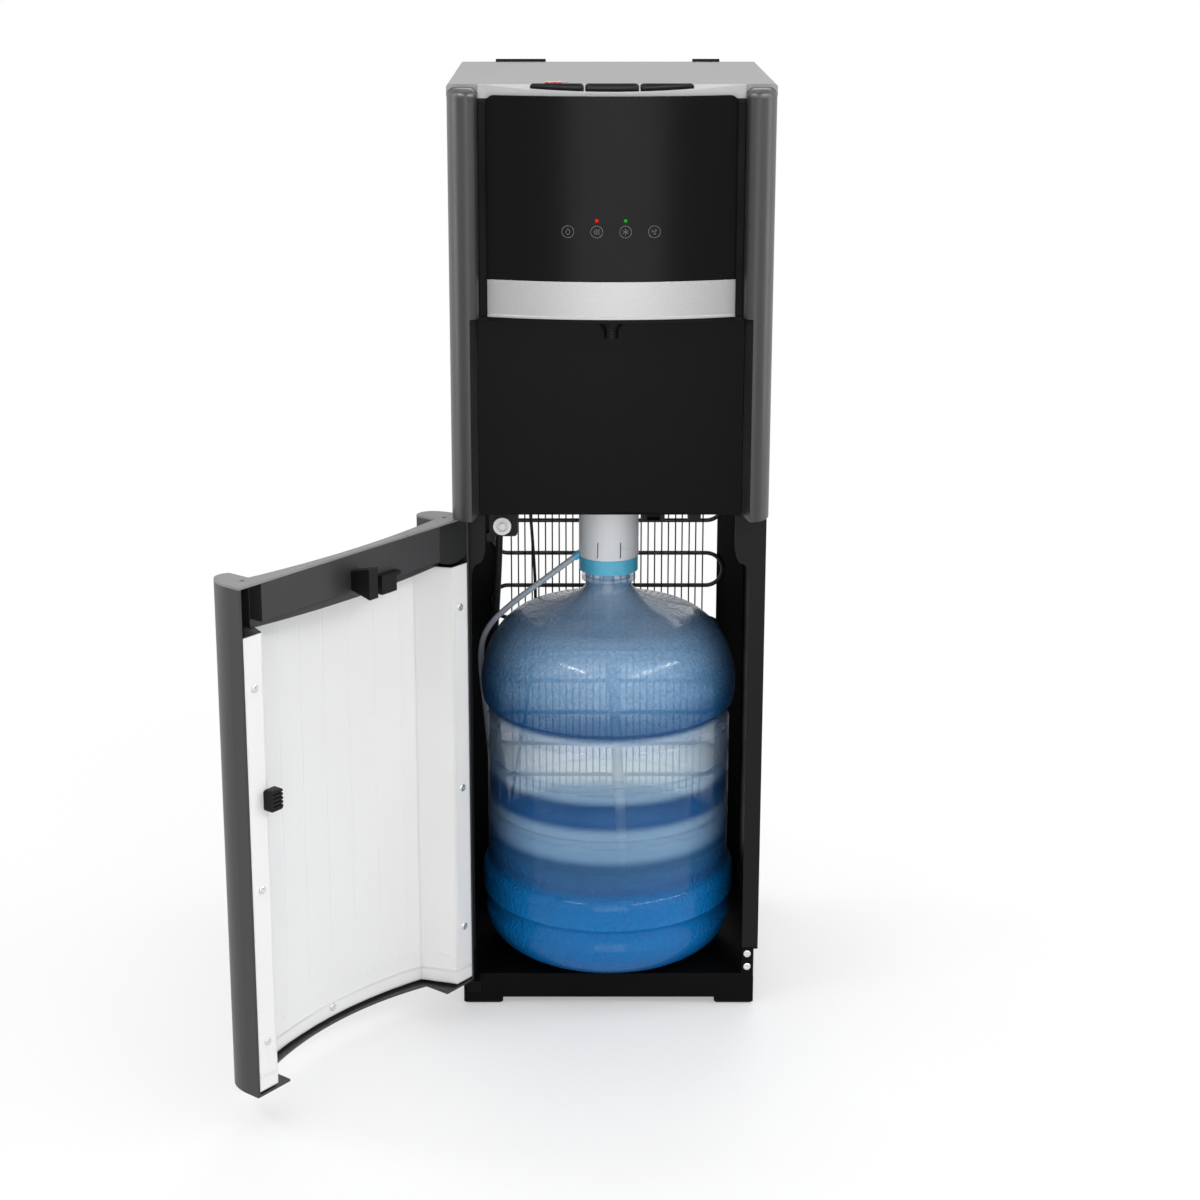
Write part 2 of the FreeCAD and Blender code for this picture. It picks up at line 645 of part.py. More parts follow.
def led(x, radius, front_by, back_by):
    y = bow_y(x, PANEL_HALF, FRONT + PANEL_SIDE_SETBACK, PANEL_BULGE)
    return Part.makeCylinder(radius, back_by - front_by, V(x, y + front_by, LED_Z), V(0, 1, 0))


def status_leds():
    return Part.makeCompound([led(x, LED_RADIUS, -GAP, PANEL_THICK) for x in LED_X])


def trim_band():
    band = panel_sheet(0, PANEL_THICK, BAND_BOTTOM, PANEL_BOTTOM)
    lip = panel_sheet(-BAND_LIP, PANEL_THICK, BAND_BOTTOM, BAND_BOTTOM + BAND_LIP_HEIGHT)
    return joined(band, lip)


def head_outline(back_by, back_y, half):
    """Behind the panel: its arc, set back, widened with short straight ears to the columns."""
    side = FRONT + PANEL_SIDE_SETBACK + back_by
    return [
        line((-half, side), (-PANEL_HALF, side)),
        panel_arc(back_by),
        line((PANEL_HALF, side), (half, side)),
        line((half, side), (half, back_y)),
        line((half, back_y), (-half, back_y)),
        line((-half, back_y), (-half, side)),
    ]


def head_frame():
    behind = PANEL_THICK + GAP
    block = prism(head_outline(behind, FRONT + HEAD_BACK, HEAD_HALF), BAND_BOTTOM + GAP, DECK_BOTTOM - GAP)
    pocket = box(-PANEL_HALF + HEAD_POCKET_WALL, PANEL_HALF - HEAD_POCKET_WALL,
                 FRONT + PANEL_SIDE_SETBACK + behind + SHELL, FRONT + HEAD_BACK + 1,
                 BAND_BOTTOM + HEAD_POCKET_WALL, DECK_BOTTOM - HEAD_POCKET_WALL)
    return joined(block.cut(pocket), spout_housing())


def deck_top():
    """Everything above the sloped top of the button deck."""
    front = FRONT + PANEL_SIDE_SETBACK - PANEL_BULGE
    seam = FRONT + DECK_BACK
    low = HEIGHT - DECK_DROP
    over = HEIGHT + DECK_HEIGHT
    profile = [V(0, front - 9, low - 3), V(0, seam, HEIGHT), V(0, seam + 9, HEIGHT), V(0, seam + 9, over),
               V(0, front - 9, over)]
    face = Part.Face(Part.makePolygon(profile + profile[:1]))
    face.translate(V(-HALF, 0, 0))
    return face.extrude(V(WIDTH, 0, 0))


def button_outline(x, play):
    """Plan of a button at x, straight at the back, its front edge along the panel's curve."""
    half = BUTTON_LENGTH / 2 + play
    left, right = x - half, x + half
    front = [bow_y(at, PANEL_HALF, FRONT + PANEL_SIDE_SETBACK, PANEL_BULGE) + BUTTON_FRONT - play
             for at in (left, x, right)]
    back = FRONT + BUTTON_BACK + play
    return [
        arc((left, front[0]), (x, front[1]), (right, front[2])),
        line((right, front[2]), (right, back)),
        line((right, back), (left, back)),
        line((left, back), (left, front[0])),
    ]


def button_deck():
    behind = PANEL_THICK + GAP
    block = prism(head_outline(behind, FRONT + DECK_BACK, HEAD_HALF), DECK_BOTTOM, HEIGHT)
    block = block.cut(deck_top())
    floor = DECK_BOTTOM + SHELL
    for place in (-1, 0, 1):
        block = block.cut(prism(button_outline(place * BUTTON_PITCH, BUTTON_PLAY), floor, HEIGHT + 1))
    return block


def push_button(place):
    bottom = DECK_BOTTOM + SHELL + BUTTON_TRAVEL + GAP
    key = prism(button_outline(place * BUTTON_PITCH, 0), bottom, HEIGHT + BUTTON_PROUD)
    cutter = deck_top()
    cutter.translate(V(0, 0, BUTTON_PROUD))
    key = key.cut(cutter)
    slope = math.degrees(math.atan2(DECK_DROP, DECK_BACK))
    middle_y = FRONT + (BUTTON_FRONT + BUTTON_BACK) / 2
    length = BUTTON_LENGTH * 0.72
    hollow = Part.makeCylinder(WIDTH, length, V(place * BUTTON_PITCH - length / 2, 0, 0), V(1, 0, 0))
    hollow.translate(V(0, middle_y, HEIGHT - DECK_DROP / 2 + BUTTON_PROUD + WIDTH - BUTTON_TOP_HOLLOW))
    hollow.rotate(V(0, middle_y, HEIGHT), V(1, 0, 0), slope)
    return key.cut(hollow)


def child_lock():
    y0 = FRONT + DECK_BACK + GAP + LOCK_SETBACK
    top = HEIGHT - 1 + GAP + LOCK_HEIGHT
    tab = box(LOCK_X - LOCK_LENGTH / 2, LOCK_X + LOCK_LENGTH / 2, y0, y0 + LOCK_WIDTH,
              top - LOCK_HEIGHT, top)
    for step in (-1, 0, 1):
        x = LOCK_X + step * LOCK_LENGTH / 4
        tab = tab.cut(box(x - 0.8, x + 0.8, y0 - 1, y0 + LOCK_WIDTH + 1, top - 0.6, top + 1))
    return tab


# ---------------------------------------------------------------- alcove and spout
def alcove_shell():
    half = HALF - FLANK_BACK - GAP
    side = FRONT + ALCOVE_SIDE_SETBACK
    edges = [
        bowed(half, side, -ALCOVE_HOLLOW),
        line((half, side), (half, side + SHELL)),
        bowed(half, side + SHELL, -ALCOVE_HOLLOW),
        line((-half, side + SHELL), (-half, side)),
    ]
    return prism(Part.__sortEdges__(edges), ALCOVE_BOTTOM, BAND_BOTTOM - HOUSING_THICK - GAP)


def spout_housing():
    back_y = FRONT + ALCOVE_SIDE_SETBACK + ALCOVE_HOLLOW + SHELL
    under_band = BAND_BOTTOM - GAP
    plate = prism(head_outline(GAP, back_y, HEAD_HALF), BAND_BOTTOM - HOUSING_THICK, under_band)
    seat = prism(head_outline(PANEL_THICK + GAP, back_y, HEAD_HALF), under_band, BAND_BOTTOM + GAP)
    return joined(plate, seat).cut(rod(0, FRONT + SPOUT_Y_SETBACK, 0, HEIGHT, NOZZLE_BORE))


def water_spout():
    y = FRONT + SPOUT_Y_SETBACK
    top = BAND_BOTTOM - HOUSING_THICK
    throat = top - CUP_HEIGHT
    cup = Part.makeCone(NOZZLE_RADIUS + 1.5, CUP_RADIUS, CUP_HEIGHT, V(0, y, throat))
    nozzle = rod(0, y, throat - NOZZLE_LENGTH, throat, NOZZLE_RADIUS)
    spout = joined(cup, nozzle)
    for step in range(3):
        z = throat - 2 - 3 * step
        groove = rod(0, y, z - 1, z, NOZZLE_RADIUS + 1).cut(rod(0, y, z - 1, z, NOZZLE_RADIUS - NOZZLE_RIB))
        spout = spout.cut(groove)
    return spout.cut(rod(0, y, throat - NOZZLE_LENGTH - 1, top + 1, NOZZLE_BORE))


# ---------------------------------------------------------------- what works inside the upper cabinet
def tank_shelf():
    x = HALF - SHEET - GAP
    y0 = FLANGE_Y + SHEET + GAP
    y1 = BACK - 2 * SHEET - 2 * GAP
    plate = box(-x, x, y0, y1, TANK_SHELF_Z - SHEET, TANK_SHELF_Z)
    skirts = [box(s * (x - SHEET / 2) - SHEET / 2, s * (x - SHEET / 2) + SHEET / 2, y0, y1,
                  TANK_SHELF_Z - SHELF_SKIRT, TANK_SHELF_Z) for s in (-1, 1)]
    return joined(plate, *skirts)


def tank(x, y, z0, radius, height, dome):
    """An upright steel tank with a rounded rim and a short pipe on top."""
    can = rod(x, y, z0, z0 + height, radius)
    rims = [e for e in can.Edges if e.BoundBox.ZLength < 1]
    can = can.makeFillet(min(dome, radius / 3), rims)
    return joined(can, rod(x, y, z0 + height - 2, z0 + height + 10, radius / 7))


def cold_tank_jacket():
    z0 = TANK_SHELF_Z
    outer = COLD_RADIUS + JACKET_THICK
    block = box(COLD_X - outer, COLD_X + outer, COLD_Y - outer, COLD_Y + outer, z0, z0 + COLD_HEIGHT)
    uprights = [e for e in block.Edges if e.BoundBox.ZLength > 1]
    block = block.makeFillet(outer / 3, uprights)
    return block.cut(rod(COLD_X, COLD_Y, z0 + JACKET_THICK - GAP, z0 + COLD_HEIGHT + 1, COLD_RADIUS + GAP))


def compressor():
    z0 = SHELF_TOP + GROMMET_HEIGHT
    half_x, half_y, thick = COMPRESSOR_FOOT
    foot = box(COMPRESSOR_X - half_x, COMPRESSOR_X + half_x, COMPRESSOR_Y - half_y, COMPRESSOR_Y + half_y,
               z0, z0 + thick)
    can = rod(COMPRESSOR_X, COMPRESSOR_Y, z0, z0 + COMPRESSOR_HEIGHT, COMPRESSOR_RADIUS)
    rims = [e for e in can.Edges if e.BoundBox.ZLength < 1 and e.BoundBox.ZMin > z0 + 1]
    can = can.makeFillet(COMPRESSOR_RADIUS * 0.5, rims)
    return joined(foot, can)


def compressor_grommets():
    z0 = SHELF_TOP
    reach_x, reach_y = (half - GROMMET_EDGE for half in COMPRESSOR_FOOT[:2])
    return Part.makeCompound([
        rod(COMPRESSOR_X + sx * reach_x, COMPRESSOR_Y + sy * reach_y, z0, z0 + GROMMET_HEIGHT, GROMMET_RADIUS)
        for sx in (-1, 1) for sy in (-1, 1)])


def relay_box():
    z0 = SHELF_TOP + GROMMET_HEIGHT + 30
    x1 = COMPRESSOR_X - COMPRESSOR_RADIUS * 0.8
    cover = box(x1 - 36, x1, COMPRESSOR_Y - 28, COMPRESSOR_Y + 28, z0, z0 + 56)
    return cover.cut(rod(COMPRESSOR_X, COMPRESSOR_Y, 0, HEIGHT, COMPRESSOR_RADIUS + GAP))


def solenoid_valves():
    z0 = BAND_BOTTOM + HEAD_POCKET_WALL + GAP
    y0 = FRONT + HEAD_BACK + GAP
    valves = []
    for place in (-1, 0, 1):
        x = place * VALVE_PITCH
        body = box(x - VALVE_SIZE / 2, x + VALVE_SIZE / 2, y0, y0 + VALVE_SIZE * 0.5, z0, z0 + VALVE_HEIGHT)
        stem = rod(x, y0 + VALVE_SIZE * 0.25, z0 - VALVE_STEM, z0, VALVE_STEM_RADIUS)
        valves.append(joined(body, stem))
    return Part.makeCompound(valves)


def control_board():
    y0 = FRONT + PANEL_SIDE_SETBACK + PANEL_THICK + GAP + SHELL + GAP
    return box(-BOARD_LENGTH / 2, BOARD_LENGTH / 2, y0, y0 + BOARD_THICK, BOARD_Z, BOARD_Z + BOARD_HEIGHT)


# ---------------------------------------------------------------- back of the cabinet
CONDENSER_Y = BACK - CONDENSER_SETBACK


def condenser_tube():
    """One serpentine: level runs joined by half-round bends."""
    bend = CONDENSER_PITCH / 2
    edges = []
    for row in range(CONDENSER_ROWS):
        z = CONDENSER_TOP - row * CONDENSER_PITCH
        way = 1 if row % 2 == 0 else -1
        start = V(-way * CONDENSER_STRAIGHT, CONDENSER_Y, z)
        end = V(way * CONDENSER_STRAIGHT, CONDENSER_Y, z)
        edges.append(Part.LineSegment(start, end).toShape())
        if row < CONDENSER_ROWS - 1:
            outer = V(way * (CONDENSER_STRAIGHT + bend), CONDENSER_Y, z - bend)
            below = V(way * CONDENSER_STRAIGHT, CONDENSER_Y, z - CONDENSER_PITCH)
            edges.append(Part.Arc(end, outer, below).toShape())
    path = Part.Wire(edges)
    start = V(-CONDENSER_STRAIGHT, CONDENSER_Y, CONDENSER_TOP)
    ring = Part.Wire(Part.makeCircle(CONDENSER_TUBE, start, V(1, 0, 0)))
    return path.makePipeShell([ring], True, False)


def condenser_wires():
    """Upright wires, by turns on the front and on the back of the serpentine."""
    low = CONDENSER_TOP - (CONDENSER_ROWS - 1) * CONDENSER_PITCH - WIRE_OVERHANG
    high = CONDENSER_TOP + WIRE_OVERHANG
    aside = CONDENSER_TUBE + WIRE_RADIUS
    wires = []
    for number in range(WIRE_COUNT):
        x = (number - (WIRE_COUNT - 1) / 2) * WIRE_PITCH
        y = CONDENSER_Y + (aside if number % 2 else -aside)
        wires.append(rod(x, y, low, high, WIRE_RADIUS))
    return Part.makeCompound(wires)


def condenser_clips():
    """Four clips from the rear flanges round the end bends of the tube."""
    bend = CONDENSER_PITCH / 2
    clips = []
    last = CONDENSER_ROWS - 2.5
    odd = CONDENSER_ROWS % 2
    for row, side in ((1.5, -1), (last - odd, -1), (0.5, 1), (last - 1 + odd, 1)):
        z = CONDENSER_TOP - row * CONDENSER_PITCH
        x = side * (CONDENSER_STRAIGHT + bend)
        block = box(x - 5, x + 5, CONDENSER_Y - CONDENSER_TUBE - 2, BACK - SHEET, z - 5, z + 5)
        middle = V(side * CONDENSER_STRAIGHT, CONDENSER_Y, z)
        ring = Part.makeTorus(bend, CONDENSER_TUBE + 0.1, middle, V(0, 1, 0))
        clips.append(block.cut(ring))
    return Part.makeCompound(clips)


def switch_place(number):
    return SWITCH_X, SWITCH_Z + number * SWITCH_PITCH


def switch_plate():
    """A plate on the rear panel with two hollow switch seats."""
    y0 = BACK - SHEET - GAP
    depth = SWITCH_PLATE_DEPTH
    low = SWITCH_Z - ROCKER_HEIGHT
    high = SWITCH_Z + SWITCH_PITCH + ROCKER_HEIGHT
    plate = box(SWITCH_X - SWITCH_HALF, SWITCH_X + SWITCH_HALF, y0, y0 + depth, low, high)
    for number in (0, 1):
        x, z = switch_place(number)
        plate = plate.cut(box(x - ROCKER_WIDTH / 2 - GAP, x + ROCKER_WIDTH / 2 + GAP, y0 + 1, y0 + depth + 1,
                              z - ROCKER_HEIGHT / 2 - 1, z + ROCKER_HEIGHT / 2 + 1))
        plate = plate.cut(rocker_pin(x, z, ROCKER_PIN_RADIUS + GAP / 2, ROCKER_PIN_REACH + GAP))
    return plate


def rocker_pin(x, z, radius, reach):
    """The round pin that a rocker turns on, reaching past the rocker on both sides."""
    length = ROCKER_WIDTH + 2 * reach
    return Part.makeCylinder(radius, length, V(x - length / 2, BACK + ROCKER_PIN_OUT, z), V(1, 0, 0))


def rocker(number):
    """A rocker that turns on its middle; drawn level, with a shallow V face."""
    x, z = switch_place(number)
    y0 = BACK - SHEET - GAP + 2.4
    face = polygon([(z - ROCKER_HEIGHT / 2, 1.9), (z, 0.0), (z + ROCKER_HEIGHT / 2, 1.9),
                    (z + ROCKER_HEIGHT / 2, 5.4), (z, 4.2), (z - ROCKER_HEIGHT / 2, 5.4)])
    wire = Part.Wire(face)
    key = Part.Face(wire)
    turn = FreeCAD.Matrix(0, 0, 1, x - ROCKER_WIDTH / 2, 0, 1, 0, y0, 1, 0, 0, 0, 0, 0, 0, 1)
    key = key.transformGeometry(turn)
    return joined(key.extrude(V(ROCKER_WIDTH, 0, 0)), rocker_pin(x, z, ROCKER_PIN_RADIUS, ROCKER_PIN_REACH))


def cord_gland():
    y0 = BACK - SHEET - GAP
    barrel = Part.makeCylinder(GLAND_RADIUS, 8, V(GLAND_X, y0, GLAND_Z), V(0, 1, 0))
    return barrel.cut(Part.makeCylinder(GLAND_RADIUS / 2, 9, V(GLAND_X, y0 + 1, GLAND_Z), V(0, 1, 0)))


# ---------------------------------------------------------------- under the ceiling
def ceiling_box(x0, x1, setback, length, drop):
    y0 = FRONT + setback
    return box(x0, x1, y0, y0 + length, CEILING_Z - drop, CEILING_Z)


def probe_hanger():
    """A black bracket in the front left corner of the compartment."""
    x0 = HANGER_INSET - HALF
    y0 = FLANGE_Y + SHEET + 4
    plate = box(x0, x0 + 29, y0, y0 + 3, CEILING_Z - 24, CEILING_Z)
    uprights = [e for e in plate.Edges if e.BoundBox.YLength > 1 and e.BoundBox.ZMax < CEILING_Z - 9]
    plate = plate.makeFillet(4, uprights)
    return joined(plate, box(x0, x0 + 29, y0, y0 + 18, CEILING_Z - 3, CEILING_Z))


def hanger_ring():
    x = HANGER_INSET - HALF + 13.5
    y0 = FLANGE_Y + SHEET + 4
    z = CEILING_Z - 12.5
    ring = Part.makeCylinder(9.2, 4, V(x, y0 - 4, z), V(0, 1, 0))
    hollow = Part.makeCylinder(5.5, 2, V(x, y0 - 4, z), V(0, 1, 0))
    stud = Part.makeCylinder(3.4, 2, V(x, y0 - 4, z), V(0, 1, 0))
    return joined(ring.cut(hollow), stud)


def latch_keeper():
    body = ceiling_box(33, 56, FLANGE_SETBACK + 6, 16, 9)
    return body.cut(ceiling_box(38, 51, FLANGE_SETBACK + 5, 12, 7).common(body))


def door_sensor():
    return ceiling_box(80, 93, FLANGE_SETBACK + 6, 18, 8)


# ---------------------------------------------------------------- hinges and screws
def hinge_plates():
    """Lower and upper hinge: a steel plate with the pin that the door turns on."""
    x0, x1 = SHEET - HALF, HINGE_PLATE_REACH - HALF
    y0, y1 = HINGE_Y - 2 * HINGE_PIN_RADIUS, FLANGE_Y - GAP
    under = DOOR_BOTTOM - 2 * GAP
    low = box(x0, x1, y0, FLANGE_Y, under - HINGE_PLATE, under)
    tab = box(-BASE_HALF + BASE_CORNER, x1, FLANGE_Y - HINGE_PLATE, FLANGE_Y, under - HINGE_TAB, under)
    pin = rod(HINGE_X, HINGE_Y, under - HINGE_PLATE, under + HINGE_PIN_LENGTH, HINGE_PIN_RADIUS)
    low = joined(low, tab, pin)
    top = COLUMN_BOTTOM
    high = box(x0, x1, y0, y1, top - HINGE_PLATE, top)
    high = joined(high, rod(HINGE_X, HINGE_Y, top - HINGE_PIN_LENGTH, top, HINGE_PIN_RADIUS))
    return Part.makeCompound([low, high])


def screw_from_front(x, y, z):
    """A pan head against a face that looks to -Y, with its cross recess."""
    head = Part.makeCylinder(SCREW_RADIUS, SCREW_HEAD, V(x, y - SCREW_HEAD, z), V(0, 1, 0))
    rim = [e for e in head.Edges if e.BoundBox.YMax < y - SCREW_HEAD + 0.1]
    head = head.makeFillet(SCREW_HEAD * 0.6, rim)
    for half_x, half_z in ((2.2, 0.5), (0.5, 2.2)):
        slot_y = y - SCREW_HEAD * 0.45
        head = head.cut(box(x - half_x, x + half_x, y - SCREW_HEAD - 1, slot_y, z - half_z, z + half_z))
    return head


def screw_from_back(x, y, z):
    screw = screw_from_front(x, -y, z)
    return screw.mirror(V(0, 0, 0), V(0, 1, 0))


def flange_screws():
    x = BASE_HALF - BASE_CORNER - SCREW_RADIUS - GAP
    screws = [screw_from_front(x, FLANGE_Y, BASE_RIM_Z - drop) for drop in FLANGE_SCREW_DROPS]
    return Part.makeCompound(screws)


# ---------------------------------------------------------------- door
def door_outline(scoop, inset, back_y):
    """Plan of the shut door. With scoop, the front between the pilasters is the concave wall."""
    side = HALF - inset
    front = FRONT + inset
    curve_y = FRONT + COLUMN_SIDE
    inner = COLUMN_INNER + inset
    if scoop:
        setback, bulge = SCOOP_SIDE_SETBACK + inset, -SCOOP_HOLLOW
    else:
        setback, bulge = DOOR_EDGE_SETBACK + inset, DOOR_BULGE
    root_y = FRONT + setback
    nose_end = min(COLUMN_INNER_CURVE, DOOR_EDGE_SETBACK - 0.5)
    return [
        line((-side, back_y), (-side, curve_y)),
        quarter((-side, curve_y), (-side, front), (-NOSE_X, front)),
        quarter((-NOSE_X, front), (-inner, front), (-inner, front + nose_end)),
        line((-inner, front + nose_end), (-inner, root_y)),
        bowed(inner, root_y, bulge),
        line((inner, root_y), (inner, front + nose_end)),
        quarter((inner, front + nose_end), (inner, front), (NOSE_X, front)),
        quarter((NOSE_X, front), (side, front), (side, curve_y)),
        line((side, curve_y), (side, back_y)),
        line((side, back_y), (-side, back_y)),
    ]


def door_skin():
    cap_under = DOOR_TOP - DOOR_CAP_THICK
    low = prism(door_outline(False, 0, DOOR_BACK), DOOR_BOTTOM, SCOOP_Z)
    high = prism(door_outline(True, 0, DOOR_BACK), SCOOP_Z, cap_under)
    hollow_low = prism(door_outline(False, SHELL, DOOR_BACK + 1), DOOR_BOTTOM + SHELL, SCOOP_Z - SHELL)
    hollow_high = prism(door_outline(True, SHELL, DOOR_BACK + 1), SCOOP_Z - SHELL - 1, cap_under + 1)
    skin = joined(low, high).cut(hollow_low).cut(hollow_high)
    trough_half = COLUMN_INNER - LINER_SLOPE + LINER_THICK
    trough_edges = [
        bowed(trough_half, FRONT + DOOR_EDGE_SETBACK + LEDGE_WIDTH, DOOR_BULGE),
        line((trough_half, FRONT + DOOR_EDGE_SETBACK + LEDGE_WIDTH), (trough_half, DOOR_BACK + 1)),
        line((trough_half, DOOR_BACK + 1), (-trough_half, DOOR_BACK + 1)),
        line((-trough_half, DOOR_BACK + 1), (-trough_half, FRONT + DOOR_EDGE_SETBACK + LEDGE_WIDTH)),
    ]
    skin = skin.cut(prism(trough_edges, DOOR_BOTTOM - 1, DOOR_BOTTOM + SHELL + 1))
    boss_plan = box(-HALF, HINGE_X + HINGE_BOSS, HINGE_Y - HINGE_BOSS, HINGE_Y + HINGE_BOSS,
                    DOOR_BOTTOM, cap_under)
    boss = boss_plan.common(prism(door_outline(True, 0, DOOR_BACK), DOOR_BOTTOM, cap_under))
    middle = box(-HALF - 1, 0, FRONT, FLANGE_Y,
                 DOOR_BOTTOM + HINGE_BOSS_HEIGHT, cap_under - HINGE_BOSS_HEIGHT)
    skin = joined(skin, boss.cut(middle))
    bore = rod(HINGE_X, HINGE_Y, 0, HEIGHT, HINGE_PIN_RADIUS + HINGE_PLAY)
    return skin.cut(bore)


def door_cap():
    cap = prism(door_outline(True, 0, DOOR_BACK), DOOR_TOP - DOOR_CAP_THICK, DOOR_TOP)
    cap = cap.cut(rod(HINGE_X, HINGE_Y, 0, HEIGHT, HINGE_PIN_RADIUS + HINGE_PLAY))
    for x in (-NOSE_X, NOSE_X):
        cap = cap.cut(rod(x, FRONT + COLUMN_SIDE, 0, HEIGHT, 2.2))
    return cap


def door_rail():
    """The black rail across the inside of the door, behind the scoop."""
    half = COLUMN_INNER + SHELL
    side = FRONT + SCOOP_SIDE_SETBACK + SHELL + GAP
    edges = [
        bowed(half, side, -SCOOP_HOLLOW),
        line((half, side), (half, DOOR_BACK)),
        line((half, DOOR_BACK), (-half, DOOR_BACK)),
        line((-half, DOOR_BACK), (-half, side)),
    ]
    cap_under = DOOR_TOP - DOOR_CAP_THICK
    rail = prism(edges, RAIL_BOTTOM, cap_under - GAP)
    keep = box(RAIL_LEFT, RAIL_RIGHT, FRONT, DOOR_BACK + 1, RAIL_BOTTOM - 1, DOOR_TOP)
    return rail.common(keep)


def hinge_cover():
    """The round black cover beside the rail at the hinge end."""
    x0 = -HALF + SHELL + GAP
    x1 = RAIL_LEFT - GAP
    y0 = FRONT + SCOOP_SIDE_SETBACK + SCOOP_HOLLOW + SHELL
    middle = (x0 + x1) / 2
    edges = [
        line((x0, RAIL_BOTTOM), (x0, DOOR_TOP - DOOR_CAP_THICK - GAP)),
        line((x0, DOOR_TOP - DOOR_CAP_THICK - GAP), (x1, DOOR_TOP - DOOR_CAP_THICK - GAP)),
        line((x1, DOOR_TOP - DOOR_CAP_THICK - GAP), (x1, RAIL_BOTTOM)),
        arc((x1, RAIL_BOTTOM), (middle, RAIL_BOTTOM - 6), (x0, RAIL_BOTTOM)),
    ]
    cover = wall_from_front(edges, max(y0, HINGE_Y + HINGE_BOSS + GAP), DOOR_BACK)
    return cover


def liner_path(offset):
    """Plan of the liner from the hinge edge to the free edge, with its back face at the given offset."""
    back = DOOR_BACK - offset
    edge = HALF - SHELL - GAP
    flange = edge - LINER_FLANGE + offset * 0.4
    floor = flange - LINER_SLOPE
    pan = DOOR_EDGE_SETBACK + SHELL + LINER_CLEARANCE + LINER_THICK - offset
    floor_y = bow_y(floor, COLUMN_INNER, FRONT + pan, DOOR_BULGE)
    middle_y = FRONT + pan - DOOR_BULGE
    return edge, flange, floor, back, floor_y, middle_y


def door_liner():
    """White moulded inner skin: flanges at both edges, sloped walls and a bowed pan between."""
    edge, flange, floor, back, floor_y, middle_y = liner_path(0)
    _, flange_b, floor_b, back_b, floor_yb, middle_yb = liner_path(LINER_THICK)
    edges = [
        line((-edge, back), (-flange, back)),
        line((-flange, back), (-floor, floor_y)),
        arc((-floor, floor_y), (0, middle_y), (floor, floor_y)),
        line((floor, floor_y), (flange, back)),
        line((flange, back), (edge, back)),
        line((edge, back), (edge, back_b)),
        line((edge, back_b), (flange_b, back_b)),
        line((flange_b, back_b), (floor_b, floor_yb)),
        arc((floor_b, floor_yb), (0, middle_yb), (-floor_b, floor_yb)),
        line((-floor_b, floor_yb), (-flange_b, back_b)),
        line((-flange_b, back_b), (-edge, back_b)),
        line((-edge, back_b), (-edge, back)),
    ]
    liner = prism(edges, LINER_BOTTOM, SCOOP_Z - SHELL - GAP)
    boss_top = DOOR_BOTTOM + HINGE_BOSS_HEIGHT + GAP
    boss_side = HINGE_BOSS + GAP
    boss_room = rod(HINGE_X, HINGE_Y, 0, boss_top, HINGE_BOSS * 1.45)
    corner = box(-HALF, HINGE_X + boss_side, HINGE_Y, HINGE_Y + boss_side, 0, boss_top)
    return liner.cut(boss_room.common(corner))


def latch_hook():
    """A flared catch on the rail."""
    x0, x1 = HOOK_X
    z0, z1 = (DOOR_TOP - drop for drop in HOOK_DROP)
    trim = HOOK_ROOT_TRIM
    root = Part.makePolygon([V(x0, 0, z0 + trim), V(x1, 0, z0 + trim),
                             V(x1, 0, z1 - trim), V(x0, 0, z1 - trim),
                             V(x0, 0, z0 + trim)])
    tip = Part.makePolygon([V(x0, 0, z0), V(x1, 0, z0), V(x1, 0, z1), V(x0, 0, z1), V(x0, 0, z0)])
    root.translate(V(0, DOOR_BACK, 0))
    tip.translate(V(0, DOOR_BACK + HOOK_REACH, 0))
    return Part.makeLoft([root, tip], True, True)


def latch_block():
    x0, x1 = BLOCK_X
    z0, z1 = (DOOR_TOP - drop for drop in BLOCK_DROP)
    block = box(x0, x1, DOOR_BACK, DOOR_BACK + BLOCK_REACH, z0, z1)
    return block.cut(box(x0 - 1, x0 + 6, DOOR_BACK + SHELL, DOOR_BACK + BLOCK_REACH + 1, z0 - 1, z1 - 4))


def liner_catch():
    """A ribbed black catch near the free edge."""
    x0, x1 = (HALF - inset for inset in CATCH_INSET)
    z0, z1 = (DOOR_BOTTOM + rise for rise in CATCH_RISE)
    body = box(x0, x1, DOOR_BACK, DOOR_BACK + CATCH_REACH, z0, z1)
    uprights = [e for e in body.Edges if e.BoundBox.ZLength < 1 and e.BoundBox.XLength < 1
                and e.BoundBox.YLength > 1]
    body = body.makeFillet(3, uprights)
    for step in range(4):
        z = z0 + 4 + step * 4
        tip = DOOR_BACK + CATCH_REACH
        body = body.cut(box(x0 - 1, x1 - 4, tip - 2, tip + 1, z, z + 1.6))
    return body


def door_screws():
    edge, flange, _, back, _, middle_y = liner_path(0)
    x = (edge + flange) / 2
    screws = [screw_from_back(-x, back, DOOR_BOTTOM + rise) for rise in HINGE_SIDE_SCREWS]
    screws += [screw_from_back(x, back, DOOR_BOTTOM + rise) for rise in FREE_SIDE_SCREWS]
    screws.append(screw_from_back(0, middle_y + GAP / 4, LINER_BOTTOM + 10))
    return Part.makeCompound(screws)


def tray_outline(inset):
    """Plan of the drip tray: the scoop's wall behind, the door's bow in front, a little proud."""
    half = COLUMN_INNER - 1 - inset
    back_side = FRONT + SCOOP_SIDE_SETBACK - 1 - inset
    front_side = FRONT + DOOR_EDGE_SETBACK - TRAY_PROUD + inset
    return [
        bowed(half, front_side, DOOR_BULGE),
        line((half, front_side), (half, back_side)),
        bowed(half, back_side, -SCOOP_HOLLOW),
        line((-half, back_side), (-half, front_side)),
    ]


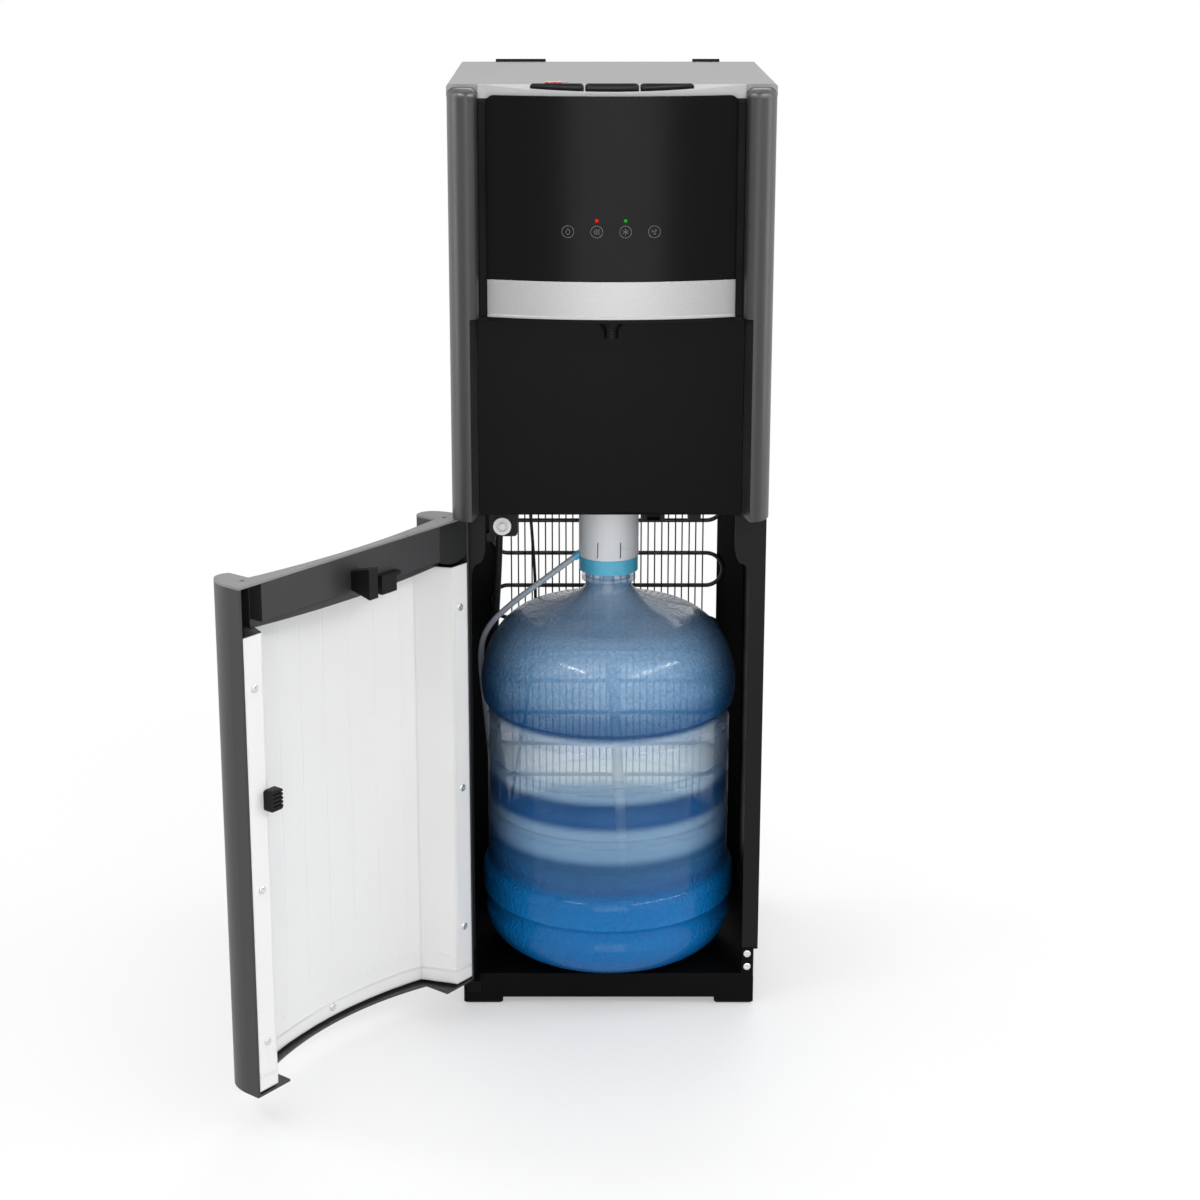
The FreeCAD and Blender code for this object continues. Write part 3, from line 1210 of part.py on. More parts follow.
def drip_tray():
    z0 = SCOOP_Z + GAP
    tray = prism(Part.__sortEdges__(tray_outline(0)), z0, z0 + TRAY_HEIGHT)
    inside = prism(Part.__sortEdges__(tray_outline(TRAY_WALL)), z0 + TRAY_WALL, z0 + TRAY_HEIGHT + 1)
    post_y = FRONT + (DOOR_EDGE_SETBACK - TRAY_PROUD + SCOOP_SIDE_SETBACK) / 2
    post_top = z0 + TRAY_HEIGHT - GRILLE_THICK - GAP
    posts = [rod(side * (COLUMN_INNER - GRILLE_POST_INSET), post_y, z0, post_top, GRILLE_POST_RADIUS)
             for side in (-1, 1)]
    return joined(tray.cut(inside), *posts)


def drip_grille():
    """Slotted cover that drops inside the tray's rim."""
    z1 = SCOOP_Z + GAP + TRAY_HEIGHT
    z0 = z1 - GRILLE_THICK
    plate = prism(Part.__sortEdges__(tray_outline(TRAY_WALL + GRILLE_PLAY)), z0, z1)
    pitch = 2 * (COLUMN_INNER - 20) / GRILLE_SLOTS
    for number in range(GRILLE_SLOTS):
        x = (number - (GRILLE_SLOTS - 1) / 2) * pitch
        front = bow_y(x, COLUMN_INNER, FRONT + DOOR_EDGE_SETBACK - TRAY_PROUD, DOOR_BULGE)
        y0 = front + TRAY_WALL + 7
        y1 = FRONT + SCOOP_SIDE_SETBACK - TRAY_WALL - 6
        plate = plate.cut(box(x - GRILLE_SLOT_WIDTH / 2, x + GRILLE_SLOT_WIDTH / 2, y0, y1, z0 - 1, z1 + 1))
    return plate


# ---------------------------------------------------------------- bottle
def bottle_side(inset):
    """Half section of the bottle from its foot to its neck, as (radius, height), set in by the wall."""
    wide = BOTTLE_RADIUS - inset
    waist = wide - BOTTLE_GROOVE
    neck = BOTTLE_NECK_RADIUS - inset
    foot_top, crease, crease_top = levels(CREASE_LEVELS)
    ring_top, ring_corner, waist_low = levels(LOW_RING_LEVELS)
    waist_high, upper_crease, dome_low = levels(WAIST_LEVELS)
    dome_corner, widest, dome_high, dome_top = levels(DOME_LEVELS)
    neck_corner, neck_low = levels(NECK_LEVELS)
    foot_side = wide - CREASE_DEPTH / 2
    edges = [
        quarter((BOTTLE_FOOT_RADIUS, inset), (foot_side, inset), (foot_side, foot_top)),
        arc((foot_side, foot_top), (wide - CREASE_DEPTH, crease), (wide, crease_top)),
        line((wide, crease_top), (wide, ring_top)),
        quarter((wide, ring_top), (wide, ring_corner), (waist, waist_low)),
    ]
    here = waist_low
    half_groove, = levels([GROOVE_SHARE])
    for groove in levels(GROOVE_LEVELS):
        low = groove - half_groove
        high = groove + half_groove
        edges.append(line((waist, here), (waist, low)))
        edges.append(arc((waist, low), (waist - GROOVE_DEPTH, groove), (waist, high)))
        here = high
    shoulder = wide - DOME_INSET
    crown = wide - GROOVE_DEPTH
    edges += [
        line((waist, here), (waist, waist_high)),
        arc((waist, waist_high), (waist - 2 * GROOVE_DEPTH, upper_crease), (crown, dome_low)),
        quarter((crown, dome_low), (wide, dome_corner), (wide, widest)),
        quarter((wide, widest), (wide, dome_high), (shoulder, dome_top - inset)),
        quarter((shoulder, dome_top - inset), (neck, neck_corner - inset), (neck, neck_low)),
    ]
    return edges


def levels(shares):
    """Heights above the bottle's foot."""
    return [share * BOTTLE_NECK_TOP for share in shares]


def bottle_solid(inset, top):
    """The bottle's outer form, or with inset the space inside it, up to the given height."""
    neck = BOTTLE_NECK_RADIUS - inset
    neck_low = levels(NECK_LEVELS)[-1]
    hollow = inset + FOOT_HOLLOW
    edges = [
        arc((0, hollow), (BOTTLE_FOOT_RADIUS / 2, inset + FOOT_HOLLOW * 0.74), (BOTTLE_FOOT_RADIUS, inset)),
        *bottle_side(inset),
        line((neck, neck_low), (neck, top)),
        line((neck, top), (0, top)),
        line((0, top), (0, hollow)),
    ]
    solid = turned(edges, 0, BOTTLE_Y)
    solid.translate(V(0, 0, BOTTLE_Z))
    return solid


def bottle():
    ring_z = NECK_TOP - NECK_RING_DROP
    ring = rod(0, BOTTLE_Y, ring_z, ring_z + NECK_RING_THICK, NECK_RING_RADIUS)
    outer = joined(bottle_solid(0, BOTTLE_NECK_TOP), ring)
    return outer.cut(bottle_solid(BOTTLE_WALL, BOTTLE_NECK_TOP + 1))


def probe_rod(radius, extra):
    foot = V(PROBE_FOOT_X, BOTTLE_Y, BOTTLE_Z + PROBE_FOOT_HEIGHT)
    top = V(PROBE_FOOT_X - PROBE_LEAN, BOTTLE_Y, COLLAR_TOP)
    way = top - foot
    length = way.Length + extra
    return Part.makeCylinder(radius, length, foot, way)


def water():
    body = bottle_solid(BOTTLE_WALL + GAP, BOTTLE_NECK_TOP)
    low = box(-HALF, HALF, FRONT, BACK, 0, BOTTLE_Z + WATER_HEIGHT)
    return body.common(low).cut(probe_rod(PROBE_RADIUS + GAP, 0).fuse(probe_foot_ball(PROBE_RADIUS + GAP)))


def probe_foot_ball(radius):
    return Part.makeSphere(radius, V(PROBE_FOOT_X, BOTTLE_Y, BOTTLE_Z + PROBE_FOOT_HEIGHT))


def probe_tube():
    outer = probe_rod(PROBE_RADIUS, 0)
    return joined(outer, probe_foot_ball(PROBE_RADIUS))


def hose_points():
    """From the nozzle on the collar, round the bottle's left shoulder, down to the pump."""
    start = V(-COLLAR_RADIUS - NOZZLE_REACH, BOTTLE_Y, COLLAR_Z + COLLAR_HEIGHT * 0.75)
    end = V(PUMP_X - 7, PUMP_Y - 9, PUMP_TOP + BARB_HEIGHT)
    wall_x = HOSE_WALL_ROOM - HALF
    between = [V(start.x + left * (wall_x - start.x), start.y + back * (end.y - start.y),
                 end.z + up * (start.z - end.z))
               for left, back, up in HOSE_SHARES]
    return [start, *between, end]


def upright_points(offsets, foot_z):
    """Points from the pump up to the ceiling."""
    return [V(PUMP_X + dx, PUMP_Y + dy, foot_z + share * (CEILING_Z - foot_z)) for dx, dy, share in offsets]


def hose_way():
    start, onward = hose_points()[:2]
    way = onward - start
    way.normalize()
    return start, way


def cap_collar():
    """The blue collar that clamps the neck, with the hose nozzle on its left."""
    ring = rod(0, BOTTLE_Y, COLLAR_Z, COLLAR_TOP, COLLAR_RADIUS)
    start, way = hose_way()
    nozzle = Part.makeCylinder(HOSE_RADIUS + 1, 16, start - way * 16, way)
    collar = joined(ring, nozzle).cut(rod(0, BOTTLE_Y, COLLAR_TOP, CAP_TOP, CAP_RADIUS + GAP))
    return collar.cut(rod(0, BOTTLE_Y, COLLAR_Z - 9, COLLAR_TOP + 9, BOTTLE_NECK_RADIUS + GAP))


def probe_cap():
    """The hollow cap over the neck, with slits round its lower edge."""
    z0 = COLLAR_TOP + GAP
    cap = rod(0, BOTTLE_Y, z0, CAP_TOP, CAP_RADIUS)
    rim = [e for e in cap.Edges if e.BoundBox.ZMin > CAP_TOP - 1 and e.BoundBox.ZLength < 1]
    cap = cap.makeFillet(CAP_WALL, rim)
    cap = cap.cut(rod(0, BOTTLE_Y, z0 - 1, CAP_TOP - CAP_WALL, CAP_RADIUS - CAP_WALL))
    for turn in range(8):
        slit = box(CAP_RADIUS - CAP_WALL - 1, CAP_RADIUS + 1, -0.7, 0.7, z0 + 3, z0 + 20)
        slit.rotate(V(0, 0, 0), LIFT, 22.5 + 45 * turn)
        slit.translate(V(0, BOTTLE_Y, 0))
        cap = cap.cut(slit)
    return cap


# ---------------------------------------------------------------- pump
def water_pump():
    body = rod(PUMP_X, PUMP_Y, FLOOR_Z, PUMP_TOP, PUMP_RADIUS)
    rims = [e for e in body.Edges if e.BoundBox.ZLength < 1 and e.BoundBox.ZMin > FLOOR_Z + 1]
    body = body.makeFillet(3, rims)
    barbs = []
    for point, radius in ((hose_points()[-1], BARB_RADIUS), (riser_points()[0], RISER_RADIUS),
                          (lead_points()[0], LEAD_RADIUS + 1.4)):
        barbs.append(rod(point.x, point.y, PUMP_TOP - 2, point.z, radius))
    return joined(body, *barbs)


def riser_points():
    return upright_points(RISER_OFFSETS, PUMP_TOP + BARB_HEIGHT)


def lead_points():
    return upright_points(LEAD_OFFSETS, PUMP_TOP + BARB_HEIGHT / 2)


# ---------------------------------------------------------------- all of it
def build():
    root = {
        "base_tray": base_tray(),
        "side_panel_left": side_panel(),
        "side_panel_right": mirrored(side_panel()),
        "inner_walls": inner_walls(),
        "shelf_plate": shelf_plate(),
        "rear_panel": rear_panel(),
        "top_cover": top_cover(),
        "front_column_left": column(),
        "front_column_right": mirrored(column()),
        "head_frame": head_frame(),
        "control_panel": control_panel(),
        "status_leds": status_leds(),
        "trim_band": trim_band(),
        "button_deck": button_deck(),
        "alcove_shell": alcove_shell(),
        "water_spout": water_spout(),
        "tank_shelf": tank_shelf(),
        "cold_tank": tank(COLD_X, COLD_Y, TANK_SHELF_Z + JACKET_THICK, COLD_RADIUS, COLD_HEIGHT, 12),
        "cold_tank_jacket": cold_tank_jacket(),
        "hot_tank": tank(HOT_X, HOT_Y, TANK_SHELF_Z, HOT_RADIUS, HOT_HEIGHT, 12),
        "compressor": compressor(),
        "compressor_grommets": compressor_grommets(),
        "relay_box": relay_box(),
        "solenoid_valves": solenoid_valves(),
        "control_board": control_board(),
        "condenser_tube": condenser_tube(),
        "condenser_wires": condenser_wires(),
        "condenser_clips": condenser_clips(),
        "switch_plate": switch_plate(),
        "cord_gland": cord_gland(),
        "probe_hanger": probe_hanger(),
        "hanger_ring": hanger_ring(),
        "latch_keeper": latch_keeper(),
        "door_sensor": door_sensor(),
        "hinge_plates": hinge_plates(),
        "flange_screws": flange_screws(),
        "water_pump": water_pump(),
        "suction_hose": tube("suction_hose", hose_points(), HOSE_RADIUS),
        "riser_hose": tube("riser_hose", riser_points(), RISER_RADIUS),
        "pump_lead": tube("pump_lead", lead_points(), LEAD_RADIUS),
        "button_hot": push_button(-1),
        "button_cold": push_button(0),
        "button_room": push_button(1),
        "child_lock": child_lock(),
        "rocker_heating": rocker(0),
        "rocker_cooling": rocker(1),
        "bottle": bottle(),
        "water": water(),
        "probe_tube": probe_tube(),
        "cap_collar": cap_collar(),
        "probe_cap": probe_cap(),
    }
    door = {
        "door_skin": door_skin(),
        "door_cap": door_cap(),
        "door_rail": Part.makeCompound([door_rail(), hinge_cover()]),
        "latch_hook": Part.makeCompound([latch_hook(), latch_block()]),
        "door_liner": door_liner(),
        "liner_catch": liner_catch(),
        "door_screws": door_screws(),
        "drip_tray": drip_tray(),
        "drip_grille": drip_grille(),
    }
    parts.update(root)
    for name, shape in door.items():
        parts[name] = shut_door_turned(shape)


build()
os.makedirs("parts", exist_ok=True)
for name, shape in parts.items():
    shape.exportStep(f"parts/{name}.step")
    print(f"{name}: {len(shape.Solids)} solids, valid {shape.isValid()}, {shape.Volume / 1000:.1f} cm3")
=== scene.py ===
# %% [markdown]
# # A bottom load water cooler
# The packed CAD model is the fixed frame of this scene: it gives every piece its place and its size, in metres.
# This script gives the pieces their materials, adds the few details that CAD leaves out, and sets up the studio.

# %% Load the frame
import math
import bmesh
import bpy
from mathutils import Matrix, Vector


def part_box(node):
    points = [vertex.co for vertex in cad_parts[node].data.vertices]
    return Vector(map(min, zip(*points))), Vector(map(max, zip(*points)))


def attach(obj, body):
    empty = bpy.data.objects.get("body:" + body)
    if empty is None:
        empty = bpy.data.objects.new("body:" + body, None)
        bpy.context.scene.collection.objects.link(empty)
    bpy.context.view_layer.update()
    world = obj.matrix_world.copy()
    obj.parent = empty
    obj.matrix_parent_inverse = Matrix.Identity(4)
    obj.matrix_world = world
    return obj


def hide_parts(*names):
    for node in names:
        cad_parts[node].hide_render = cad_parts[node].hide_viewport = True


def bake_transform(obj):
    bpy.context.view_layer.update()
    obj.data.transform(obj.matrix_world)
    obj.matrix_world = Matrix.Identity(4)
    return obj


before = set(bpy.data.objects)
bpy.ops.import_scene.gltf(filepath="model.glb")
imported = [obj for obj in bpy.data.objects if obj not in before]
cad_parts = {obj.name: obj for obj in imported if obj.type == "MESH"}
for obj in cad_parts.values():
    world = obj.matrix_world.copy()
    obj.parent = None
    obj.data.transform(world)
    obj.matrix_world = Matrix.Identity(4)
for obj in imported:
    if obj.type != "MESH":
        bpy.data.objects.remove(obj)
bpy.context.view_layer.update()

# %% [markdown]
# ## The camera
# The photograph was taken from in front of the cooler and well above it, with upright lines kept upright. That could
# be done with lens shift alone, but a large shift would push the object out of the frame in every other view.
# So a small shift does a part of it, and a tilt of the camera does the rest.

# %% Camera
CAMERA_PLACE = (-0.0306, -2.397, 1.1686)
CAMERA_TILT = math.radians(14.775)
LENS_MM = 69.6
SENSOR_MM = 36.0
SHIFT_X, SHIFT_Y = 0.0165, -0.085

camera_data = bpy.data.cameras.new("camera")
camera_data.lens = LENS_MM
camera_data.sensor_width = SENSOR_MM
camera_data.shift_x = SHIFT_X
camera_data.shift_y = SHIFT_Y
camera = bpy.data.objects.new("camera", camera_data)
camera.location = CAMERA_PLACE
camera.rotation_euler = (math.radians(90) - CAMERA_TILT, 0, 0)
bpy.context.scene.collection.objects.link(camera)
bpy.context.scene.camera = camera
bpy.context.scene.view_settings.view_transform = "Standard"
print("camera", tuple(round(v, 3) for v in camera.location), "lens", camera_data.lens)

# %% [markdown]
# ## Hoses and the pump's lead
# Three flexible lines run inside the lower compartment: the suction hose from the collar on the bottle down to the
# pump, the riser from the pump up to the ceiling, and the pump's lead. Each could be a chain of cylinders, but a
# NURBS curve with a round bevel has no kinks, so each line is one curve through the control points of its CAD tube.
# The points are given as shares of the way between the two ends, so a route keeps its form when an end moves.

# %% Where the lines run
COLLAR_SIDE = Vector((-0.037, -0.005, 0.472))
PUMP = Vector((-0.122, 0.116, 0.090))
INLET = PUMP + Vector((-0.007, -0.009, 0.016))
RISER_FOOT_Z = PUMP.z + 0.016
LEAD_FOOT_Z = PUMP.z + 0.008
WALL_X = -0.148
CEILING = 0.5473

# Shares of the way to the left wall, to the pump's depth and up from the pump.
HOSE_SHARES = ((0.333, 0.027, 0.921), (0.658, 0.09, 0.839), (0.883, 0.241, 0.754), (0.946, 0.384, 0.653),
               (0.91, 0.563, 0.516), (0.883, 0.741, 0.38), (0.851, 0.884, 0.238), (0.838, 0.973, 0.109))
# Millimetres to the right of the pump and behind it, and the share of the height up to the ceiling.
RISER_OFFSETS = ((5, 8, 0), (3, 10, 0.126), (-4, 14, 0.253), (-8, 17, 0.384), (-7, 18, 0.515), (-3, 15, 0.646),
                 (0, 12, 0.777), (1, 10.5, 0.894), (1, 10, 1))
LEAD_OFFSETS = ((8, -6, 0), (10, -2.5, 0.074), (16, 3, 0.169), (25, 8, 0.281), (33, 11, 0.403), (39, 12.4, 0.528),
                (41, 13, 0.653), (38, 12.6, 0.778), (34, 11.6, 0.899), (34, 11, 1))
MM = 0.001


def lerp(a, b, t):
    return a + (b - a) * t


def upright_route(offsets, foot_z):
    return [Vector((PUMP.x + right * MM, PUMP.y + back * MM, lerp(foot_z, CEILING, share)))
            for right, back, share in offsets]


hose_route = [COLLAR_SIDE]
for left, back, up in HOSE_SHARES:
    hose_route.append(Vector((lerp(COLLAR_SIDE.x, WALL_X, left), lerp(COLLAR_SIDE.y, INLET.y, back),
                              lerp(INLET.z, COLLAR_SIDE.z, up))))
hose_route.append(INLET)
print("points of the suction hose", len(hose_route))

# %% [markdown]
# A hose or lead is equally thick all along. The usual way is a bevel as deep as its radius, with each point's own
# radius left at 1. But the evaluated curve's bounding box is widened by the points' radius and not by the bevel, so
# it would reach a metre too far. Here the bevel is 1 m deep and each point has the real radius: the line comes out
# the same, and its box is right.

# %% A round curve
def round_curve(name, points, diameter):
    """A smooth curve through the control points, with a round section."""
    curve = bpy.data.curves.new(name, "CURVE")
    curve.dimensions = "3D"
    curve.bevel_depth = 1.0
    curve.bevel_resolution = 6
    curve.resolution_u = 16
    curve.use_fill_caps = True
    spline = curve.splines.new("NURBS")
    spline.points.add(len(points) - 1)
    for place, point in zip(spline.points, points):
        place.co = (*point, 1)
        place.radius = diameter / 2
    spline.order_u = 3
    spline.use_endpoint_u = True
    return curve


print("points of the riser", len(RISER_OFFSETS), "and of the lead", len(LEAD_OFFSETS))

# %% [markdown]
# The suction hose ends on the bottle, which slides out of the cabinet. It could stay with the cabinet, but then its
# end would hang in the air where the bottle was. A curve can't bend with a joint, so this one line is turned into a
# mesh. The other two lines stay curves.

# %% Lines
BEND_START, BEND_END = (-0.135, -0.005, 0.395), (-0.043, -0.005, 0.468)


def mesh_of(curve):
    """The mesh that a curve makes."""
    holder = bpy.data.objects.new("curve_holder", curve)
    bpy.context.scene.collection.objects.link(holder)
    mesh = bpy.data.meshes.new_from_object(holder.evaluated_get(bpy.context.evaluated_depsgraph_get()))
    bpy.data.objects.remove(holder)
    return mesh


def line_along(name, points, diameter, replaced, follows=None):
    """A round line. If follows is given, the line is made a mesh; the body and the bend's start and end that follows
    holds are not used."""
    curve = round_curve(name, points, diameter)
    route = None
    if follows:
        mesh = mesh_of(curve)
        mesh.polygons.foreach_set("use_smooth", [True] * len(mesh.polygons))
        line = bpy.data.objects.new(name, mesh)
        bpy.context.scene.collection.objects.link(line)
        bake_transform(line)
        curve.bevel_depth = 0.0
        route = [tuple(vertex.co) for vertex in mesh_of(curve).vertices]
    else:
        line = bpy.data.objects.new(name, curve)
        bpy.context.scene.collection.objects.link(line)
        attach(line, "cabinet")
    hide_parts(replaced)
    return line


suction_line = line_along("suction_line", hose_route, diameter=0.0064, replaced="suction_hose",
                          follows=("bottle_load", BEND_START, BEND_END))
riser_line = line_along("riser_line", upright_route(RISER_OFFSETS, RISER_FOOT_Z), diameter=0.008,
                        replaced="riser_hose")
lead_line = line_along("lead_line", upright_route(LEAD_OFFSETS, LEAD_FOOT_Z), diameter=0.0036,
                       replaced="pump_lead")
print("lines", [o.name for o in (suction_line, riser_line, lead_line)])

# %% [markdown]
# ## Materials
# No real surface is one flat colour. Every material here is built from nodes: a base colour with slow variation, a
# roughness that changes a little from place to place, and a bump of the right grain. Image textures would need UV
# maps on every CAD mesh, and object coordinates need none. Adding and linking nodes takes several lines each time, so
# `Nodes` gives every kind of node that is used often one short call.

# %% Nodes in short calls
MIX_A, MIX_B, MIX_RESULT = 6, 7, 2   # the colour sockets of a Mix node


class Nodes:
    """A material with a Principled shader, and short calls that add nodes to it."""

    def __init__(self, name, color, rough=0.4, **sockets):
        self.material = bpy.data.materials.new(name)
        self.material.use_nodes = True
        self.tree = self.material.node_tree
        self.shader = self.tree.nodes["Principled BSDF"]
        self.color = (*color, 1)
        self.shader.inputs["Base Color"].default_value = self.color
        self.shader.inputs["Roughness"].default_value = rough
        for socket, value in sockets.items():
            self.shader.inputs[socket.replace("_", " ")].default_value = value
        self.place = self.node("ShaderNodeTexCoord").outputs["Object"]

    def node(self, kind, **settings):
        node = self.tree.nodes.new(kind)
        for name, value in settings.items():
            setattr(node, name, value)
        return node

    def link(self, a, b):
        self.tree.links.new(a, b)

    def feed(self, socket, value):
        """Link a value to one of the shader's sockets."""
        self.link(value, self.shader.inputs[socket])

    def math(self, operation, *values, clamp=False):
        """A Math node; each value is a number or a socket."""
        node = self.node("ShaderNodeMath", operation=operation, use_clamp=clamp)
        for socket, value in zip(node.inputs, values):
            if isinstance(value, bpy.types.NodeSocket):
                self.link(value, socket)
            else:
                socket.default_value = value
        return node.outputs[0]

    def noise(self, scale, detail=3.0, vector=None):
        noise = self.node("ShaderNodeTexNoise")
        noise.inputs["Scale"].default_value = scale
        noise.inputs["Detail"].default_value = detail
        noise.inputs["Roughness"].default_value = 0.55
        self.link(vector or self.place, noise.inputs["Vector"])
        return noise.outputs["Fac"]

    def cells(self, scale):
        """A Voronoi texture: its Distance is a grain, its Color is random patches."""
        cells = self.node("ShaderNodeTexVoronoi")
        cells.inputs["Scale"].default_value = scale
        self.link(self.place, cells.inputs["Vector"])
        return cells.outputs

    def mapped(self, value, low, high, start=0.3, end=0.7, **settings):
        """low where value is at start, high where it is at end, and clamped outside."""
        node = self.node("ShaderNodeMapRange", **settings)
        for name, number in (("From Min", start), ("From Max", end), ("To Min", low), ("To Max", high)):
            node.inputs[name].default_value = number
        self.link(value, node.inputs["Value"])
        return node.outputs["Result"]

    def mixed(self, factor, a, b):
        """Colour a where factor is 0 and b where it is 1; each is a colour or a socket."""
        node = self.node("ShaderNodeMix", data_type="RGBA")
        self.link(factor, node.inputs["Factor"])
        for index, value in ((MIX_A, a), (MIX_B, b)):
            if isinstance(value, bpy.types.NodeSocket):
                self.link(value, node.inputs[index])
            else:
                node.inputs[index].default_value = (*value[:3], 1)
        return node.outputs[MIX_RESULT]


print("calls", [name for name in vars(Nodes) if not name.startswith("_")])

# %% [markdown]
# A finish is then a chain of plain steps, such as soft edges, a shade, an uneven gloss and a grain. The steps could be
# copied from one material to the next. As methods that return the surface they are written once, and each material
# below reads as the list of what can be seen on the real piece.

# %% Steps of a finish
FLAT_FROM, FLAT_TO = 0.75, 0.98       # how far a rounded normal agrees with the face, at an edge and on the flat
RUBBED_SIZE, RUBBED_RANGE = 40, (0.42, 0.62)
RUBBED_RADIUS = 0.0015


class Surface(Nodes):
    """A finish that is built up step by step. Each step returns the surface."""

    def shade(self, share, scale=6.0):
        """Slow colour variation: the base colour, darker and lighter by share."""
        dark = [c * (1 - share) for c in self.color[:3]]
        light = [min(1, c * (1 + share)) for c in self.color[:3]]
        self.tone = self.mixed(self.mapped(self.noise(scale, 4), 0, 1), dark, light)
        self.feed("Base Color", self.tone)
        return self

    def patch(self, where, color):
        """Another colour where the mask is 1, over the shaded tone."""
        self.feed("Base Color", self.mixed(where, self.tone, color))
        return self

    def vary_roughness(self, low, high, scale=14.0):
        self.feed("Roughness", self.mapped(self.noise(scale, 5), low, high))
        return self

    def bump(self, height, distance, strength=1.0):
        """Relief on top of whatever the normal is so far."""
        node = self.node("ShaderNodeBump")
        node.inputs["Distance"].default_value = distance
        node.inputs["Strength"].default_value = strength
        self.link(height, node.inputs["Height"])
        if self.shader.inputs["Normal"].links:
            self.link(self.shader.inputs["Normal"].links[0].from_socket, node.inputs["Normal"])
        self.feed("Normal", node.outputs["Normal"])
        return self

    def rounded(self, radius):
        """The normal as if edges were rounded by radius."""
        node = self.node("ShaderNodeBevel", samples=4)
        node.inputs["Radius"].default_value = radius
        return node.outputs["Normal"]

    def soft_edges(self, radius=0.0008):
        """Edges catch the light as a moulded or folded edge does."""
        self.feed("Normal", self.rounded(radius))
        return self

    def worn(self, color, share):
        """Edges that are rubbed a little lighter, in patches."""
        dot = self.node("ShaderNodeVectorMath", operation="DOT_PRODUCT")
        self.link(self.rounded(RUBBED_RADIUS), dot.inputs[0])
        self.link(self.node("ShaderNodeNewGeometry").outputs["Normal"], dot.inputs[1])
        edge = self.mapped(dot.outputs["Value"], share, 0, FLAT_FROM, FLAT_TO)
        patches = self.mapped(self.noise(RUBBED_SIZE, 4), 0, 1, *RUBBED_RANGE)
        return self.patch(self.math("MULTIPLY", edge, patches), color)

    def grain(self, scale=2600, distance=0.00004, strength=0.5):
        """Fine moulded grain."""
        return self.bump(self.cells(scale)["Distance"], distance, strength)


print("steps", [name for name in vars(Surface) if not name.startswith("_")])

# %% [markdown]
# The columns and the door skin share one metallic charcoal paint: a dark base with tiny flakes under a clear coat.
# Real flakes are far too small to model, so a fine Voronoi pattern lightens the colour in specks instead. The steel
# side panels are plain black powder coat, with edges that are rubbed a little lighter.

# %% Metallic and side paint
charcoal = Surface("charcoal_metallic", (0.0225, 0.0225, 0.0234), 0.42, Metallic=0.25, Coat_Weight=0.18,
                   Coat_Roughness=0.32)
charcoal.soft_edges(0.0012).shade(0.05, 5)
flakes = charcoal.mapped(charcoal.cells(2200)["Distance"], 1, 0, 0.0, 0.25)
charcoal.patch(flakes, (0.062, 0.062, 0.0645)).vary_roughness(0.40, 0.48)
charcoal.bump(charcoal.noise(700, 2), 0.00002, 0.4)

side_paint = Surface("side_paint", (0.005, 0.005, 0.0054), 0.40, Specular_IOR_Level=0.15)
side_paint.soft_edges(0.0009).shade(0.08, 4).vary_roughness(0.36, 0.42, 4)
side_paint.bump(side_paint.noise(900, 3), 0.00003, 0.5).worn((0.05, 0.05, 0.05), 0.3)
print("paints", charcoal.material.name, side_paint.material.name)

# %% [markdown]
# The top cover and the button deck are silver plastic with a matt, even face. Two of their details are only a change
# of colour: the low bars on the cover's back edge are black, and the deck's ears, down between the columns and the
# panel, are coloured near black as painted shade. They could be separate pieces, but the CAD solids already have their
# shape, so the colour changes by height.

# %% Silver plastics
BARS_FROM = (0.98465, 0.9849)
EARS_SHADED_BELOW = (0.9705, 0.9715)


def parts_of(surface, vector=None):
    """X, Y and Z of a vector, or of the object coordinates."""
    split = surface.node("ShaderNodeSeparateXYZ")
    surface.link(vector or surface.place, split.inputs["Vector"])
    return split.outputs


top_silver = Surface("top_silver", (0.385, 0.385, 0.388), 0.5, Specular_IOR_Level=0.0)
top_silver.soft_edges().shade(0.012).vary_roughness(0.48, 0.52, 4).grain(strength=0.35)
top_silver.patch(top_silver.mapped(parts_of(top_silver)["Z"], 0, 1, *BARS_FROM), (0.022, 0.022, 0.023))

deck_silver = Surface("deck_silver", (0.50, 0.50, 0.503), 0.46, Specular_IOR_Level=0.12)
deck_silver.soft_edges().shade(0.015).vary_roughness(0.44, 0.48, 4).grain(strength=0.3)
# Painted shade: the deck's ears, below its front edge between the columns and the panel, are coloured near black.
deck_silver.patch(deck_silver.mapped(parts_of(deck_silver)["Z"], 1, 0, *EARS_SHADED_BELOW), (0.004, 0.004, 0.004))
print("silver plastics", top_silver.material.name, deck_silver.material.name)

# %% [markdown]
# The rest of the mouldings differ only in colour, gloss and grain, so one function makes them all. The blacks have
# a low specular level: a white studio shows in every gloss, and would turn them grey.

# %% Plastics
EDGE_WEAR = 0.35


def plastic(name, color, rough, spread=0.07, grain=0.35, worn=None, **sockets):
    """Moulded plastic: spread is how far its colour varies, grain how deep its grain is, worn its colour at edges."""
    surface = Surface(name, color, rough, **sockets).soft_edges().shade(spread)
    surface.vary_roughness(rough * 0.85, rough * 1.2).grain(strength=grain)
    if worn:
        surface.worn(worn, EDGE_WEAR)
    return surface.material


